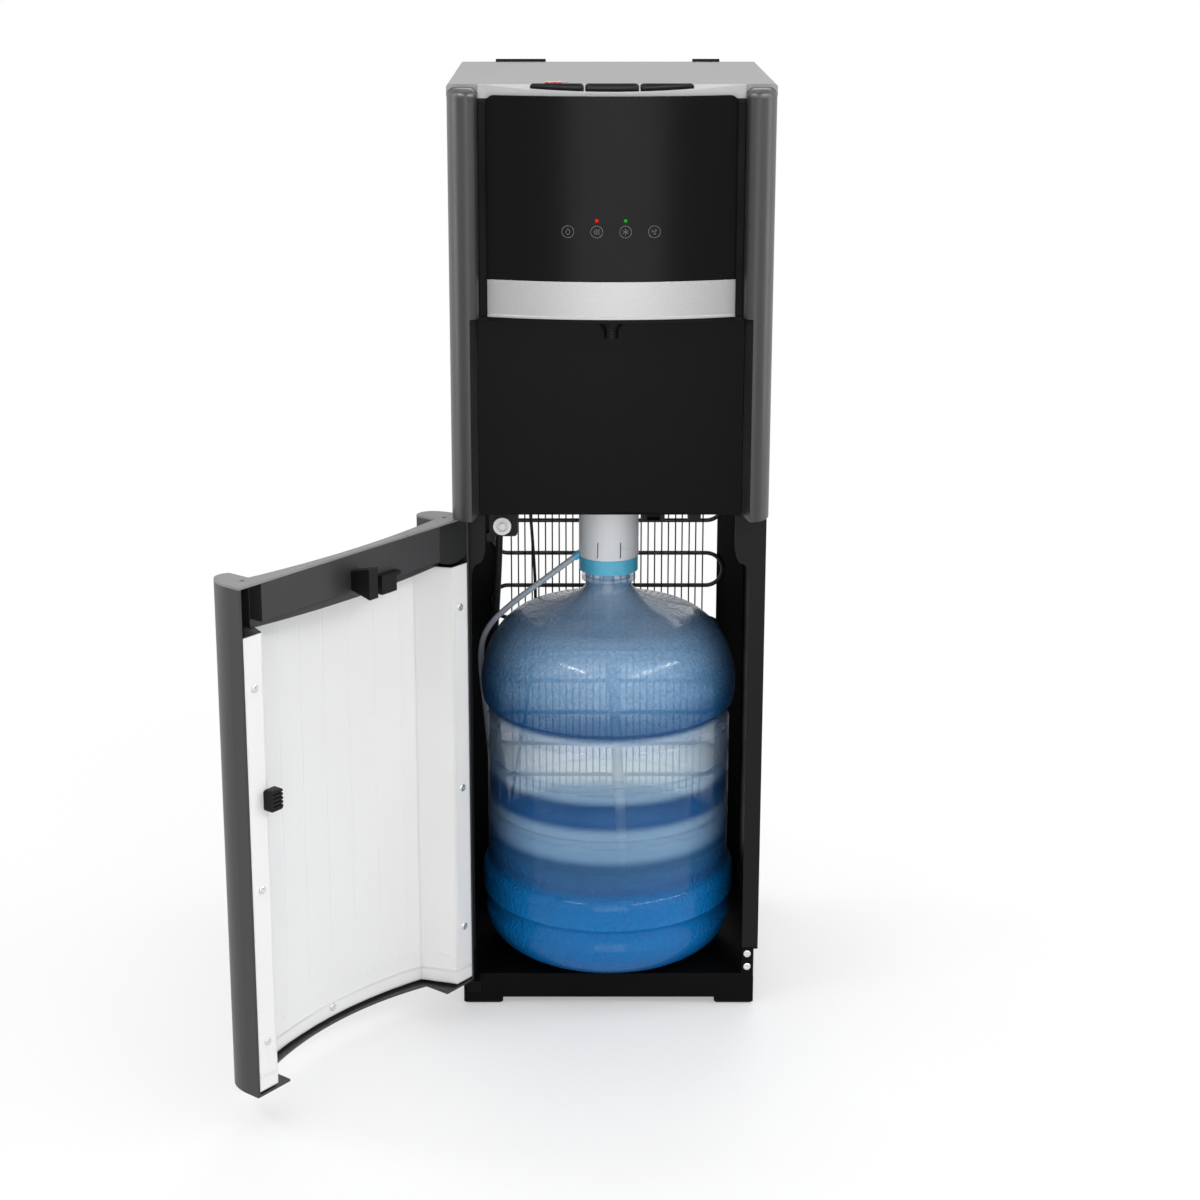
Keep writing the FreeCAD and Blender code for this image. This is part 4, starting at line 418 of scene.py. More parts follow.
inner_paint = plastic("inner_black", (0.0025, 0.0025, 0.0028), 0.46, spread=0.15, grain=0.3, Specular_IOR_Level=0.09)
base_plastic = plastic("base_black", (0.002, 0.002, 0.0022), 0.46, spread=0.15, grain=0.5, worn=(0.02, 0.02, 0.02),
                       Specular_IOR_Level=0.06)
fitting_black = plastic("fitting_black", (0.004, 0.004, 0.0044), 0.38, spread=0.15, grain=0.4,
                        Specular_IOR_Level=0.16)
cap_grey = plastic("door_cap_grey", (0.24, 0.24, 0.24), 0.46, spread=0.06, grain=0.4, Specular_IOR_Level=0.1)
button_black = plastic("button_black", (0.002, 0.002, 0.0022), 0.5, spread=0.15, grain=0.2, Specular_IOR_Level=0.05)
lock_red = plastic("lock_red", (0.52, 0.035, 0.02), 0.35, spread=0.10, grain=0.4)
tray_black = plastic("tray_black", (0.012, 0.012, 0.013), 0.36, spread=0.12, grain=0.5)
ring_white = plastic("ring_white", (0.66, 0.66, 0.64), 0.35, spread=0.05, grain=0.2)
print("plastics in sight", [m.name for m in (inner_paint, base_plastic, fitting_black, cap_grey, button_black,
                                             lock_red, tray_black, ring_white)])

# %% [markdown]
# Behind the panels are the tank's foam jacket, the valves, the relay box, the rubber grommets and the circuit board.
# The photograph doesn't show them. They could stay bare, but the model is also looked at from behind and with its
# panels off, so each has what its kind always has: foam and rubber are matt with a deep grain, and a board is
# glossy green lacquer.

# %% Plastics behind the panels
foam_white = plastic("foam_white", (0.78, 0.78, 0.75), 0.75, spread=0.06, grain=1.0)
relay_grey = plastic("relay_grey", (0.20, 0.20, 0.21), 0.5)
valve_white = plastic("valve_white", (0.72, 0.72, 0.70), 0.42)
rubber = plastic("rubber_black", (0.013, 0.013, 0.013), 0.72, spread=0.2, grain=1.0)
board_green = plastic("board_green", (0.02, 0.14, 0.06), 0.35, spread=0.25, grain=0.3)
print("plastics behind", [m.name for m in (foam_white, relay_grey, valve_white, rubber, board_green)])

# %% [markdown]
# The control panel and the alcove are gloss black. The band under the panel is satin aluminium, brushed from left
# to right. Brushing could be an anisotropic shader alone, but then it has no visible strokes, so noise stretched
# along one axis also draws them in colour, roughness and bump.

# %% Gloss black and brushed metal
panel_gloss = Surface("panel_gloss", (0.0008, 0.0008, 0.0009), 0.22, Specular_IOR_Level=0.11)
panel_gloss.soft_edges(0.0006).shade(0.2, 3).vary_roughness(0.20, 0.24, 20)
panel_gloss.bump(panel_gloss.noise(45, 2), 0.00002, 0.2)

alcove_gloss = Surface("alcove_gloss", (0.0018, 0.0018, 0.0020), 0.26, Specular_IOR_Level=0.075)
alcove_gloss.soft_edges(0.0008).shade(0.15, 3).vary_roughness(0.30, 0.38, 10).grain(1800, 0.00002, 0.3)

ACROSS_STROKES, ALONG_STROKES = 2400, 18
STROKE_DEPTH = 0.00003


def stretched(surface, scale):
    """Object coordinates stretched by scale."""
    mapping = surface.node("ShaderNodeMapping")
    mapping.inputs["Scale"].default_value = scale
    surface.link(surface.place, mapping.inputs["Vector"])
    return mapping.outputs["Vector"]


def brushed(name, color, rough, along, **sockets):
    """Metal with fine strokes that run along one axis."""
    surface = Surface(name, color, rough, Metallic=1.0, **sockets).soft_edges(0.0006)
    scale = [ALONG_STROKES if axis == along else ACROSS_STROKES for axis in "xyz"]
    strokes = surface.noise(1.0, 4, stretched(surface, scale))
    dark = [c * 0.82 for c in color]
    surface.feed("Base Color", surface.mixed(surface.mapped(strokes, 0, 1), dark, color))
    surface.feed("Roughness", surface.mapped(strokes, rough * 0.85, rough * 1.3))
    return surface.bump(strokes, STROKE_DEPTH, 0.5).material


band_metal = brushed("band_aluminium", (0.385, 0.385, 0.389), 0.38, "x", Anisotropic=0.4)
tank_steel = brushed("tank_steel", (0.62, 0.62, 0.61), 0.3, "z", Anisotropic=0.4)
screw_steel = brushed("screw_steel", (0.72, 0.72, 0.71), 0.25, "x")
print("gloss and brushed metal done")

# %% [markdown]
# Inside and behind are a galvanised shelf with its spangle, the black paint of the condenser and the thicker,
# glossier paint of the compressor. Noise would give the zinc soft clouds, but its crystals are flat patches with
# sharp borders, so a Voronoi pattern colours them. The paints are told apart by gloss and by the size of their bumps.

# %% Metals inside
galvanised = Surface("galvanised", (0.55, 0.56, 0.57), 0.42, Metallic=0.9).soft_edges()
spangle = galvanised.mixed(galvanised.cells(140)["Color"], (0.44, 0.45, 0.46), (0.62, 0.63, 0.64))
galvanised.feed("Base Color", spangle)
galvanised.vary_roughness(0.34, 0.52, 120)

condenser_paint = Surface("condenser_paint", (0.012, 0.012, 0.012), 0.34)
condenser_paint.shade(0.25, 30).vary_roughness(0.28, 0.48, 60)
condenser_paint.bump(condenser_paint.noise(1200, 3), 0.00005, 0.5)

compressor_paint = Surface("compressor_paint", (0.008, 0.008, 0.008), 0.22, Coat_Weight=0.4)
compressor_paint.shade(0.2, 8).vary_roughness(0.18, 0.34, 12)
compressor_paint.bump(compressor_paint.noise(260, 3), 0.0001, 0.35)
print("metals done")

# %% [markdown]
# The door's liner is white, slightly glossy, vacuum-formed plastic with low upright ribs, a bead along its foot and a
# row of dimples over it. These are a millimetre high at most, so a bump shows them as well as a mesh would. The
# door stands open, and the pattern has to follow it, so `door_across` measures along the open door.

# %% Door liner
HINGE = Vector((-0.155, -0.122, 0))
DOOR_TURN = math.radians(-128)
DOOR_WAY = Vector((math.cos(DOOR_TURN), math.sin(DOOR_TURN), 0))
RIB_PITCH, RIB_HALF = 0.034, 0.0022
RIBS_MIDDLE_Z, RIBS_HALF_Z = 0.285, 0.225
BEAD_Z, BEAD_HALF = 0.0565, 0.0035
DIMPLE_Z, DIMPLE_HALF = 0.074, 0.004
DIMPLE_OFFSET = 0.008
RELIEF = 0.0012
RIB_SHARE, DIMPLE_SHARE = 0.3, 0.5   # heights as shares of the bead's


def hump(surface, value, middle, half):
    """1 where value is at the middle, falling smoothly to 0 at half away from it."""
    away = surface.math("ABSOLUTE", surface.math("SUBTRACT", value, middle))
    return surface.mapped(away, 0.0, 1.0, half, 0.0, interpolation_type="SMOOTHSTEP")


def door_across(surface):
    """Where a point of the open door is between its hinge edge and its free edge, as X on the shut door."""
    place = parts_of(surface)
    along = surface.math("ADD", surface.math("MULTIPLY", place["X"], DOOR_WAY.x),
                         surface.math("MULTIPLY", place["Y"], DOOR_WAY.y))
    return surface.math("ADD", along, HINGE.x - HINGE.dot(DOOR_WAY))


liner_white = Surface("liner_white", (0.77, 0.77, 0.765), 0.36)
liner_white.soft_edges(0.0035).shade(0.02, 3).vary_roughness(0.30, 0.45, 8)
liner_z = parts_of(liner_white)["Z"]
from_rib = liner_white.math("PINGPONG", door_across(liner_white), RIB_PITCH / 2)
rib_span = liner_white.math("MULTIPLY", hump(liner_white, liner_z, RIBS_MIDDLE_Z, RIBS_HALF_Z), 9.0, clamp=True)
rib = liner_white.math("MULTIPLY", hump(liner_white, from_rib, 0.0, RIB_HALF), rib_span)
bead = hump(liner_white, liner_z, BEAD_Z, BEAD_HALF)
dimple = liner_white.math("MULTIPLY", hump(liner_white, liner_z, DIMPLE_Z, DIMPLE_HALF),
                          hump(liner_white, from_rib, DIMPLE_OFFSET, DIMPLE_HALF))
low_band = liner_white.math("ADD", bead, liner_white.math("MULTIPLY", dimple, DIMPLE_SHARE))
liner_white.bump(liner_white.math("ADD", liner_white.math("MULTIPLY", rib, RIB_SHARE), low_band), RELIEF, 0.8)
print("liner ribs every", RIB_PITCH)

# %% [markdown]
# The liner's upper ledge is in shadow behind the black rail, so the faces that look up there are coloured black, as a
# painted shadow. The sheet itself has a faint orange peel and a finer grain, as two more bumps on top of the relief.
# The rail above it is black plastic, and the round cover over the hinge is a deeper black: it is left of the rail's
# own edge.

# %% Liner finish and rail
LEDGE_FROM = (0.400, 0.402)
LOOKS_UP = (0.6, 0.8)
RAIL_LEFT = -0.116
up = parts_of(liner_white, liner_white.node("ShaderNodeNewGeometry").outputs["Normal"])["Z"]
# Painted shadow: faces that look up on the ledge behind the rail are coloured black.
ledge_shadow = liner_white.math("MULTIPLY", liner_white.mapped(up, 0, 1, *LOOKS_UP),
                         liner_white.mapped(liner_z, 0, 1, *LEDGE_FROM))
liner_white.patch(ledge_shadow, (0.004, 0.004, 0.004))
liner_white.bump(liner_white.noise(60, 3), 0.0002, 0.25)
liner_white.bump(liner_white.noise(1500, 2), 0.00002, 0.4)

rail_black = Surface("rail_black", (0.024, 0.024, 0.025), 0.42, Specular_IOR_Level=0.35).soft_edges().shade(0.10)
rail_black.vary_roughness(0.36, 0.50).grain(strength=0.7)
round_cover = rail_black.mapped(door_across(rail_black), 1, 0, RAIL_LEFT - 0.0005, RAIL_LEFT)
rail_black.patch(round_cover, (0.002, 0.002, 0.002))
print("liner and rail done")

# %% [markdown]
# The suction hose is clear and a little milky, the riser is dark rubber and the pump's lead is black. Full
# transmission would make the thin hose vanish in the black bay, so it has a pale colour of its own and lets only a
# little light through. Colour and gloss vary finely along all three, and the dark ones also have a fine bump.

# %% Hoses and lead
hose_clear = Surface("hose_clear", (0.52, 0.58, 0.66), 0.32, Transmission_Weight=0.12, IOR=1.42)
hose_clear.shade(0.04, 30).vary_roughness(0.26, 0.38, 40)
riser_rubber = Surface("riser_rubber", (0.030, 0.030, 0.032), 0.5)
riser_rubber.shade(0.12, 40).vary_roughness(0.42, 0.58, 60).bump(riser_rubber.noise(900, 2), 0.00004, 0.4)
lead_black = Surface("lead_black", (0.012, 0.012, 0.012), 0.42)
lead_black.shade(0.15, 60).vary_roughness(0.36, 0.5, 80).bump(lead_black.noise(900, 2), 0.00004, 0.4)
for line, surface in ((suction_line, hose_clear), (riser_line, riser_rubber), (lead_line, lead_black)):
    line.data.materials.append(surface.material)
print("lines dressed", suction_line.name, riser_line.name, lead_line.name)

# %% [markdown]
# The bottle is blue polycarbonate, clear on the body and the neck and finely pebbled on the shoulder and the foot.
# Glass-like refraction would leave it dark in its black bay, so each wall is see-through by its alpha instead: lamps
# reach the water and the tube inside, and both walls add their own blue. Real plastic looks deeper where it is thick
# or seen edge on. The colour stops by height stand for the thick rings, and a dark band at the water line is painted
# shade, where the water's surface looks dark. Layer Weight closes the wall and darkens it where it is seen edge on.

# %% Bottle colour
SHOULDER_FROM = (0.300, 0.315)
SHOULDER_CLEARS = (0.370, 0.425)
NECK_CLEARS = (0.430, 0.445)
FOOT_BELOW = (0.145, 0.165)
# The dark stops at 0.216 and 0.236 are painted shade: the band at the water line.
BOTTLE_STOPS = [
    (0.036, (0.0, 0.14, 0.42)), (0.095, (0.0, 0.20, 0.56)), (0.128, (0.0, 0.18, 0.50)),
    (0.142, (0.02, 0.10, 0.26)), (0.168, (0.03, 0.13, 0.30)), (0.180, (0.40, 0.66, 0.95)),
    (0.205, (0.50, 0.76, 1.00)), (0.216, (0.02, 0.12, 0.36)), (0.236, (0.012, 0.09, 0.28)),
    (0.246, (0.48, 0.75, 1.00)), (0.280, (0.74, 0.92, 1.00)), (0.305, (0.58, 0.79, 1.00)),
    (0.3135, (0.01, 0.10, 0.28)), (0.330, (0.03, 0.16, 0.37)), (0.358, (0.16, 0.38, 0.64)),
    (0.385, (0.32, 0.58, 0.88)), (0.430, (0.46, 0.70, 0.97)), (0.470, (0.34, 0.60, 0.95))]


def banded(surface, height, stops):
    """Colours by height, smoothly from one stop to the next: (height, colour) from low to high."""
    low, high = stops[0][0], stops[-1][0]
    ramp = surface.node("ShaderNodeValToRGB")
    ramp.color_ramp.interpolation = "EASE"
    elements = ramp.color_ramp.elements
    while len(elements) < len(stops):
        elements.new(0.5)
    for element, (place, color) in zip(elements, stops):
        element.position = (place - low) / (high - low)
        element.color = (*color, 1)
    surface.link(surface.mapped(height, 0, 1, low, high), ramp.inputs["Fac"])
    return ramp.outputs["Color"]


bottle = Surface("bottle_blue", (0.36, 0.56, 0.80), 0.10, IOR=1.45, Specular_IOR_Level=0.12, Coat_Weight=0.32,
                 Coat_Roughness=0.05)
bottle_z = parts_of(bottle)["Z"]
tone = banded(bottle, bottle_z, BOTTLE_STOPS)
shoulder = bottle.math("MULTIPLY", bottle.mapped(bottle_z, 0, 1, *SHOULDER_FROM),
                       bottle.mapped(bottle_z, 1, 0.4, *SHOULDER_CLEARS))
shoulder = bottle.math("MULTIPLY", shoulder, bottle.mapped(bottle_z, 1, 0.1, *NECK_CLEARS))
foot = bottle.mapped(bottle_z, 1, 0, *FOOT_BELOW)
# Painted reflections: lighter upright streaks on the body and the shoulder, faded out over the foot.
reflection_streaks = bottle.mapped(bottle.noise(7, 4, stretched(bottle, (1, 1, 0.5))), 0, 0.12)
reflection_streaks = bottle.math("MULTIPLY", reflection_streaks, bottle.math("SUBTRACT", 1.0, foot))
tone = bottle.mixed(reflection_streaks, tone, (0.30, 0.66, 0.98))
print("bottle stops", len(BOTTLE_STOPS))

# %% [markdown]
# The pebbling is small even lumps in the plastic. It could be displacement, but lumps this low need only shading, and
# the mesh stays light. One noise darkens the colour in specks, partly the pebbling's own look and partly painted shade
# of the lumps. The same noise makes the bump, and the same mask roughens the gloss. The wall's cover, its alpha, is
# highest on the pebbled parts, the foot, the dark ring and the painted dark band at the water line.

# %% Bottle wall
PEBBLE_SIZE, PEBBLE_DEPTH = 260, 0.0010
PEBBLE_SPECKS_AND_SHADE = 0.34
CLEAR_COVER, PEBBLED_COVER = 0.22, 0.56
FOOT_COVER, BAND_COVER, EDGE_COVER = 0.28, 0.22, 0.5
RING_AND_WATERLINE_BANDS = ((0.226, 0.018), (0.156, 0.022))   # height, half its width
pebbled = bottle.math("MAXIMUM", shoulder, foot)
pebble = bottle.math("MULTIPLY", bottle.mapped(bottle.noise(PEBBLE_SIZE, 2), 0, 1, 0.35, 0.65), pebbled)
# Partly painted shade: the colour darkens in specks where the lumps rise.
tone = bottle.mixed(bottle.math("MULTIPLY", pebble, PEBBLE_SPECKS_AND_SHADE), tone, (0.02, 0.10, 0.30))
edge_on = bottle.node("ShaderNodeLayerWeight")
edge_on.inputs["Blend"].default_value = 0.40
edge_on = edge_on.outputs["Facing"]
edge_shade = bottle.math("MULTIPLY", edge_on, bottle.mapped(foot, 1, 0.65, 0, 1))
bottle.feed("Base Color", bottle.mixed(edge_shade, tone, (0.002, 0.055, 0.20)))

# Painted shade at the water line: the band there is also less see-through, like the ring at the top of the foot.
dark_ring_and_waterline = bottle.math("MAXIMUM", *[hump(bottle, bottle_z, *ring) for ring in RING_AND_WATERLINE_BANDS])
cover = bottle.mapped(pebbled, CLEAR_COVER, PEBBLED_COVER, 0, 1)
for part, share in ((foot, FOOT_COVER), (dark_ring_and_waterline, BAND_COVER)):
    cover = bottle.math("ADD", cover, bottle.math("MULTIPLY", part, share))
cover = bottle.math("ADD", cover, bottle.math("MULTIPLY", edge_on, EDGE_COVER), clamp=True)
bottle.feed("Alpha", cover)
bottle.feed("Roughness", bottle.mapped(pebbled, 0.06, 0.34, 0, 1))
bottle.bump(pebble, PEBBLE_DEPTH, 0.9)
print("bottle wall done")

# %% [markdown]
# The water is a blue body with painted shade at its surface: its colour goes dark at the water line. Water has no
# colour of its own: the blue comes from the walls around it, and a refracting volume would show that, slowly and with
# noise. So it works as the walls do, by colours by height and by alpha: nearly closed in the foot, where one looks
# through the most of it, and clear above. The collar is teal with a little light under its skin, and the probe's tube
# and cap are milky plastic.

# %% Water, collar and probe
WATER_LINE = 0.218
# The last stop, dark at the water line, is painted shade of the water's surface.
WATER_STOPS = [(0.04, (0.02, 0.32, 0.90)), (0.13, (0.04, 0.42, 1.00)), (0.19, (0.45, 0.72, 1.00)),
               (WATER_LINE, (0.02, 0.12, 0.36))]
FOOT_WATER, CLEAR_WATER = 0.75, 0.16
water = Surface("water_blue", (0.3, 0.6, 0.9), 0.05, IOR=1.33)
water_z = parts_of(water)["Z"]
water.feed("Base Color", banded(water, water_z, WATER_STOPS))
water.feed("Alpha", water.mapped(water_z, FOOT_WATER, CLEAR_WATER, 0.125, 0.165))
water.bump(water.noise(12, 2), 0.001, 0.25)

collar_teal = Surface("collar_teal", (0.10, 0.50, 0.72), 0.28, Subsurface_Weight=0.05)
collar_teal.soft_edges().shade(0.1, 20).vary_roughness(0.22, 0.36, 30)
probe_milk = Surface("probe_milk", (0.78, 0.80, 0.83), 0.34)
probe_milk.soft_edges().shade(0.04, 12).vary_roughness(0.25, 0.4, 20)
print("water, collar and probe done")

# %% [markdown]
# ## Give each CAD node its material
# A node keeps its mesh and its place. Only its material slots change. A table from material to nodes shows at a
# glance what shares a finish, and the last line prints any node that was forgotten.

# %% Assign
LOOKS = {
    base_plastic: "base_tray",
    side_paint.material: "side_panel_left side_panel_right",
    inner_paint: "inner_walls shelf_plate rear_panel head_frame hinge_plates",
    galvanised.material: "tank_shelf",
    top_silver.material: "top_cover",
    deck_silver.material: "button_deck",
    charcoal.material: "front_column_left front_column_right door_skin",
    panel_gloss.material: "control_panel",
    band_metal: "trim_band",
    alcove_gloss.material: "alcove_shell",
    fitting_black: "water_spout water_pump probe_hanger latch_keeper door_sensor cord_gland switch_plate "
                   "latch_hook liner_catch",
    button_black: "button_hot button_cold button_room rocker_heating rocker_cooling",
    lock_red: "child_lock",
    tank_steel: "cold_tank hot_tank",
    foam_white: "cold_tank_jacket",
    compressor_paint.material: "compressor",
    rubber: "compressor_grommets",
    relay_grey: "relay_box",
    valve_white: "solenoid_valves",
    board_green: "control_board",
    condenser_paint.material: "condenser_tube condenser_wires condenser_clips",
    ring_white: "hanger_ring",
    screw_steel: "flange_screws door_screws",
    bottle.material: "bottle",
    water.material: "water",
    probe_milk.material: "probe_tube probe_cap",
    collar_teal.material: "cap_collar",
    cap_grey: "door_cap",
    rail_black.material: "door_rail",
    liner_white.material: "door_liner",
    tray_black: "drip_tray drip_grille",
}
REPLACED_LATER = {"suction_hose", "riser_hose", "pump_lead", "status_leds"}
dressed = set()
for material, names in LOOKS.items():
    for name in names.split():
        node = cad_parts[name]
        node.data.materials.clear()
        node.data.materials.append(material)
        dressed.add(name)
print("dressed", len(dressed), "left bare", sorted(set(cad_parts) - dressed - REPLACED_LATER))

# %% [markdown]
# ## The panel's face
# The lights, the signs and the front edge of the buttons all follow the bow of the control panel. Their points could
# be snapped to its mesh, but the bow is an arc of a circle, so its half width, its side and its bulge give it exactly.

# %% The panel's face
PANEL_HALF, PANEL_SIDE_Y, PANEL_BULGE = 0.122, -0.140, 0.018
PANEL_RADIUS = (PANEL_HALF ** 2 + PANEL_BULGE ** 2) / (2 * PANEL_BULGE)


def panel_y(x):
    """The panel's face at x."""
    return PANEL_SIDE_Y - PANEL_BULGE + PANEL_RADIUS - math.sqrt(PANEL_RADIUS ** 2 - x * x)


print("panel's radius", round(PANEL_RADIUS, 4), "front", round(panel_y(0), 4))

# %% [markdown]
# ## Status lights
# Two small lenses, red and green, glow on the control panel. Each is a flattened ball, half sunk in the panel's
# bowed face, with a weak emission: a lamp object would light the panel around it, which such a light hardly does.

# %% Status lights
LIGHT_Z, LIGHT_RADIUS, LIGHT_FLATNESS, LIGHT_SUNK = 0.8553, 0.0016, 0.45, 0.0003
GLOW = 0.65
LIGHTS = (("led_red", -0.0146, (1.0, 0.0, 0.0)), ("led_green", 0.0134, (0.0, 0.30, 0.0)))


def glowing(name, color, strength):
    surface = Surface(name, color, 0.3, Emission_Strength=strength, Specular_IOR_Level=0.05)
    surface.shader.inputs["Emission Color"].default_value = (*color, 1)
    return surface.shade(0.1, 300).material


def mesh_piece(name, fill, material, body):
    """A new smooth piece; fill is a function that fills a bmesh."""
    mesh = bpy.data.meshes.new(name)
    work = bmesh.new()
    fill(work)
    work.to_mesh(mesh)
    work.free()
    for polygon in mesh.polygons:
        polygon.use_smooth = True
    piece = bpy.data.objects.new(name, mesh)
    bpy.context.scene.collection.objects.link(piece)
    mesh.materials.append(material)
    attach(piece, body)
    return piece


def lens(place, radius, flatness):
    def fill(work):
        bmesh.ops.create_uvsphere(work, u_segments=24, v_segments=12, radius=radius,
                                  matrix=Matrix.Translation(place) @ Matrix.Diagonal((1, flatness, 1, 1)))
    return fill


for name, x, color in LIGHTS:
    place = Vector((x, panel_y(x) + LIGHT_SUNK, LIGHT_Z))
    mesh_piece(name, lens(place, LIGHT_RADIUS, LIGHT_FLATNESS), glowing(name, color, GLOW), "cabinet")
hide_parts("status_leds")

# %% [markdown]
# ## Pictograms
# Four round signs are printed in thin grey lines under the lights: a drop, heat, cold and a fan, all generic. Printed
# lines could be an image, but thin bevelled curves stay sharp at any size and follow the panel's bow.

# %% Pictograms
ICON_Z, ICON_RADIUS, STROKE = 0.8445, 0.0058, 0.00022
ICON_X = (-0.0426, -0.0146, 0.0134, 0.0414)
RING_SIDES = 32
THIRD = 2 * math.pi / 3
icon_grey = plastic("icon_grey", (0.21, 0.21, 0.21), 0.45, spread=0.05, grain=0.2)


def around(radius, angle):
    return radius * math.cos(angle), radius * math.sin(angle)


def strokes_for(sign):
    """Polylines of one sign in a circle of radius 1."""
    if sign == "drop":
        return [[(0, 0.6), (0.32, 0.05), (0.3, -0.28), (0, -0.5), (-0.3, -0.28), (-0.32, 0.05), (0, 0.6)]]
    if sign == "heat":
        return [[(x + 0.12 * math.sin(t * 1.6), -0.45 + t * 0.15) for t in range(7)] for x in (-0.35, 0, 0.35)]
    if sign == "cold":
        return [[around(-0.55, a), around(0.55, a)] for a in (math.pi / 2, math.pi / 6, 5 * math.pi / 6)]
    return [[around(0.1, a), around(0.5, a), around(0.5, a + 0.7), around(0.1, a)]
            for a in (0.4, 0.4 + THIRD, 0.4 + 2 * THIRD)]


def pictogram(name, x, sign):
    ring = [around(1, a * 2 * math.pi / RING_SIDES) for a in range(RING_SIDES + 1)]
    curve = bpy.data.curves.new(name, "CURVE")
    curve.dimensions = "3D"
    curve.bevel_depth = STROKE
    for polyline in [ring, *strokes_for(sign)]:
        spline = curve.splines.new("POLY")
        spline.points.add(len(polyline) - 1)
        for place, (u, v) in zip(spline.points, polyline):
            at = x + u * ICON_RADIUS
            place.co = (at, panel_y(at), ICON_Z + v * ICON_RADIUS, 1)
    piece = bpy.data.objects.new(name, curve)
    bpy.context.scene.collection.objects.link(piece)
    curve.materials.append(icon_grey)
    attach(piece, "cabinet")
    return piece


icons = [pictogram(f"icon_{sign}", x, sign) for x, sign in zip(ICON_X, ("drop", "heat", "cold", "fan"))]
print("pictograms", len(icons))

# %% [markdown]
# ## Push-buttons
# The three push-buttons stand a little proud of the sloped deck, with rounded corners and a rolled edge. The CAD keys
# are plain slabs. A bevel modifier on them would round every edge alike, and the real edge is round above and sharp
# below, so each key gets a cap of its own: rings of points that follow its plan, each a little higher and further in.

# %% Plan of a key
KEY_BACK_Y = -0.137
KEY_BEHIND_PANEL = 0.006
KEY_CORNER, LEAST_CORNER = 0.003, 0.0006
FRONT_STEPS = 10
CORNER_STEP = 30


def key_plan(left, right, inset):
    """The outline of a key, seen from above, from its front left corner round to the right."""
    left, right, back = left + inset, right - inset, KEY_BACK_Y - inset
    corner = max(KEY_CORNER - inset, LEAST_CORNER)
    fronts = [lerp(left + corner, right - corner, share / FRONT_STEPS) for share in range(FRONT_STEPS + 1)]
    plan = [(x, panel_y(x) + KEY_BEHIND_PANEL + inset) for x in fronts]
    # Centre of each corner, the angle it starts from and the steps it takes from there.
    corners = ((right - corner, plan[-1][1] + corner, -90, range(1, 4)), (right - corner, back - corner, 0, range(4)),
               (left + corner, back - corner, 90, range(4)), (left + corner, plan[0][1] + corner, 180, range(1, 3)))
    for x, y, start, steps in corners:
        for step in steps:
            angle = math.radians(start + CORNER_STEP * step)
            plan.append((x + corner * math.cos(angle), y + corner * math.sin(angle)))
    return plan


print("points round a key", len(key_plan(-0.03, 0.03, 0.0)))

# %% [markdown]
# The deck slopes down to the front, so a cap's rings are measured from its slope. They go from a foot sunk in the
# CAD key's place up the side, over the rolled edge and down again into a slightly dished middle.

# %% Button caps
DECK_SEAM_Y, DECK_SEAM_Z, DECK_SLOPE = -0.135, 0.9843, 0.34375
# Height over the deck and distance in from the edge.
CAP_RINGS = ((-0.004, 0.0), (0.0010, 0.0), (0.0016, 0.0004), (0.0020, 0.0012), (0.0020, 0.0022), (0.0017, 0.0045),
             (0.0015, 0.0065))


def deck_z(y):
    """The deck's sloped top at y."""
    return DECK_SEAM_Z - DECK_SLOPE * (DECK_SEAM_Y - y)


def key_cap(node):
    low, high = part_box(node)

    def fill(work):
        rings = []
        for rise, inset in CAP_RINGS:
            rings.append([work.verts.new((x, y, deck_z(y) + rise)) for x, y in key_plan(low[0], high[0], inset)])
        for below, above in zip(rings, rings[1:]):
            for i in range(len(below)):
                j = (i + 1) % len(below)
                work.faces.new((below[i], below[j], above[j], above[i]))
        work.faces.new(rings[-1])
        work.faces.new(rings[0][::-1])
    return fill


caps = []
for kind in ("hot", "cold", "room"):
    cap = mesh_piece(f"cap_{kind}", key_cap(f"button_{kind}"), button_black, f"{kind}_key")
    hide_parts(f"button_{kind}")
    caps.append(cap)
print("button caps", [c.name for c in caps])

# %% [markdown]
# ## The floor
# The photograph has a pure white background with only a soft shadow. A white floor alone turns grey away from the
# lamps. So the floor fades, away from the cooler, into a plain white emission, for the camera and for rays that
# gloss and glass send out, and near the cooler it stays a lit surface that keeps the shadow.

# %% Floor
FLOOR_SIZE = 14
FADE_FROM, FADE_TO = 0.25, 1.1
LEAST_FADE = 0.35
bpy.ops.mesh.primitive_plane_add(size=FLOOR_SIZE, location=(0, 0, 0))
floor = bpy.context.object
floor.name = "floor"
floor_surface = Surface("floor_white", (0.88, 0.88, 0.88), 0.6)
floor_surface.shade(0.01, 2).vary_roughness(0.5, 0.7, 3)
reach = floor_surface.node("ShaderNodeVectorMath", operation="LENGTH")
floor_surface.link(floor_surface.place, reach.inputs[0])
faded = floor_surface.mapped(reach.outputs["Value"], LEAST_FADE, 1, FADE_FROM, FADE_TO)
rays = floor_surface.node("ShaderNodeLightPath").outputs
seen = floor_surface.math("MAXIMUM", rays["Is Camera Ray"],
                          floor_surface.math("MAXIMUM", rays["Is Glossy Ray"], rays["Is Transmission Ray"]))
blank = floor_surface.node("ShaderNodeEmission")
blank.inputs["Strength"].default_value = 1.0
fade = floor_surface.node("ShaderNodeMixShader")
floor_surface.link(floor_surface.math("MULTIPLY", faded, seen), fade.inputs[0])
floor_surface.link(floor_surface.shader.outputs[0], fade.inputs[1])
floor_surface.link(blank.outputs[0], fade.inputs[2])
floor_surface.link(fade.outputs[0], floor_surface.tree.nodes["Material Output"].inputs["Surface"])
floor.data.materials.append(floor_surface.material)
print("floor", FLOOR_SIZE)

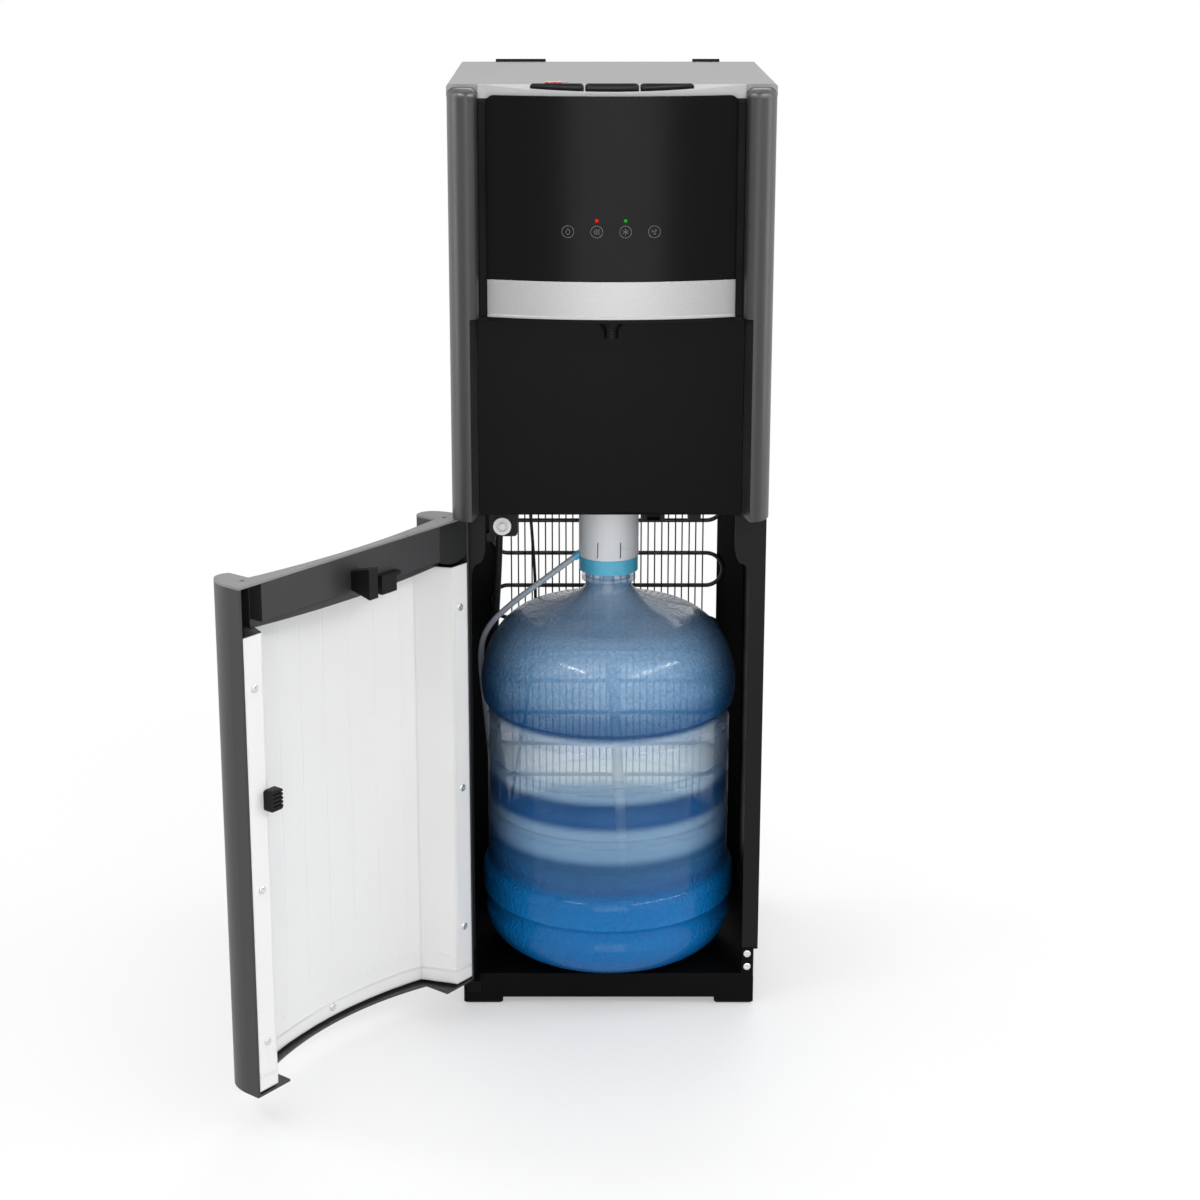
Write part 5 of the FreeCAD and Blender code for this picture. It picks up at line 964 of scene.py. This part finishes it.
# %% [markdown]
# ## The surround
# The world is what the camera sees behind the floor, and it also throws light from all sides. A white world at full
# strength would make a white background but light the object flat. So it works as the floor does: white for the
# camera, gloss and glass, and dim for the light on the object, so that the lamps shape it.

# %% Surround
WORLD_LIGHT = 0.38
world = bpy.data.worlds.new("surround")
world.use_nodes = True
bpy.context.scene.world = world
nodes, links = world.node_tree.nodes, world.node_tree.links
nodes.clear()


def larger(a, b):
    """A Math node with the larger of two values."""
    node = nodes.new("ShaderNodeMath")
    node.operation = "MAXIMUM"
    links.new(a, node.inputs[0])
    links.new(b, node.inputs[1])
    return node.outputs[0]


def background(strength):
    node = nodes.new("ShaderNodeBackground")
    node.inputs["Color"].default_value = (1, 1, 1, 1)
    node.inputs["Strength"].default_value = strength
    return node.outputs[0]


rays = nodes.new("ShaderNodeLightPath").outputs
seen = larger(rays["Is Camera Ray"], larger(rays["Is Glossy Ray"], rays["Is Transmission Ray"]))
mix = nodes.new("ShaderNodeMixShader")
for socket, value in zip(mix.inputs, (seen, background(WORLD_LIGHT), background(1.0))):
    links.new(value, socket)
links.new(mix.outputs[0], nodes.new("ShaderNodeOutputWorld").inputs["Surface"])
print("world light", WORLD_LIGHT)

# %% [markdown]
# ## The lamps
# Area lamps act as a studio's softboxes: a large low one in front, two high strips beside it, one on each side, one
# overhead and one behind. The photograph also has narrow bright lines along the columns. Brighter strips would make
# them and burn out the white liner too, so two thin glints light gloss alone.

# %% Lights
HIGH_LEFT, HIGH_RIGHT = (-1.45, -1.15, 2.15), (1.5, -1.2, 1.9)
# Name, place, height on the middle line that it looks at, width, height, watts.
LAMPS = (
    ("front_soft", (0.1, -2.9, 0.9), 0.6, 1.5, 2.4, 27),
    ("front_left", HIGH_LEFT, 0.4, 1.9, 0.3, 11),
    ("front_right", HIGH_RIGHT, 0.4, 2.0, 0.3, 13),
    ("glint_left", HIGH_LEFT, 0.4, 1.9, 0.07, 52),
    ("glint_right", HIGH_RIGHT, 0.4, 2.0, 0.07, 52),
    ("left_strip", (-2.2, 0.2, 1.1), 0.5, 0.7, 2.0, 18),
    ("right_strip", (2.2, 0.2, 1.1), 0.5, 0.7, 2.0, 18),
    ("top_soft", (0, 0.2, 2.8), 0.6, 1.6, 1.6, 18),
    ("back_soft", (0.4, 2.4, 1.6), 0.4, 1.6, 1.6, 18),
)


def soft_light(name, place, aim_z, width, height, power):
    data = bpy.data.lights.new(name, "AREA")
    data.shape = "RECTANGLE"
    data.size = width
    data.size_y = height
    data.energy = power
    light = bpy.data.objects.new(name, data)
    light.location = place
    way = Vector((0, 0, aim_z)) - Vector(place)
    light.rotation_euler = way.to_track_quat("-Z", "Y").to_euler()
    bpy.context.scene.collection.objects.link(light)
    return light


for row in LAMPS:
    lamp = soft_light(*row)
    if lamp.name.startswith("glint"):
        lamp.visible_diffuse = False
print("lamps", len(LAMPS))

# %% [markdown]
# ## Finish
# The view layer is updated once more. The visual model has to stay inside the CAD model's box.

# %% Finish
bpy.context.view_layer.update()
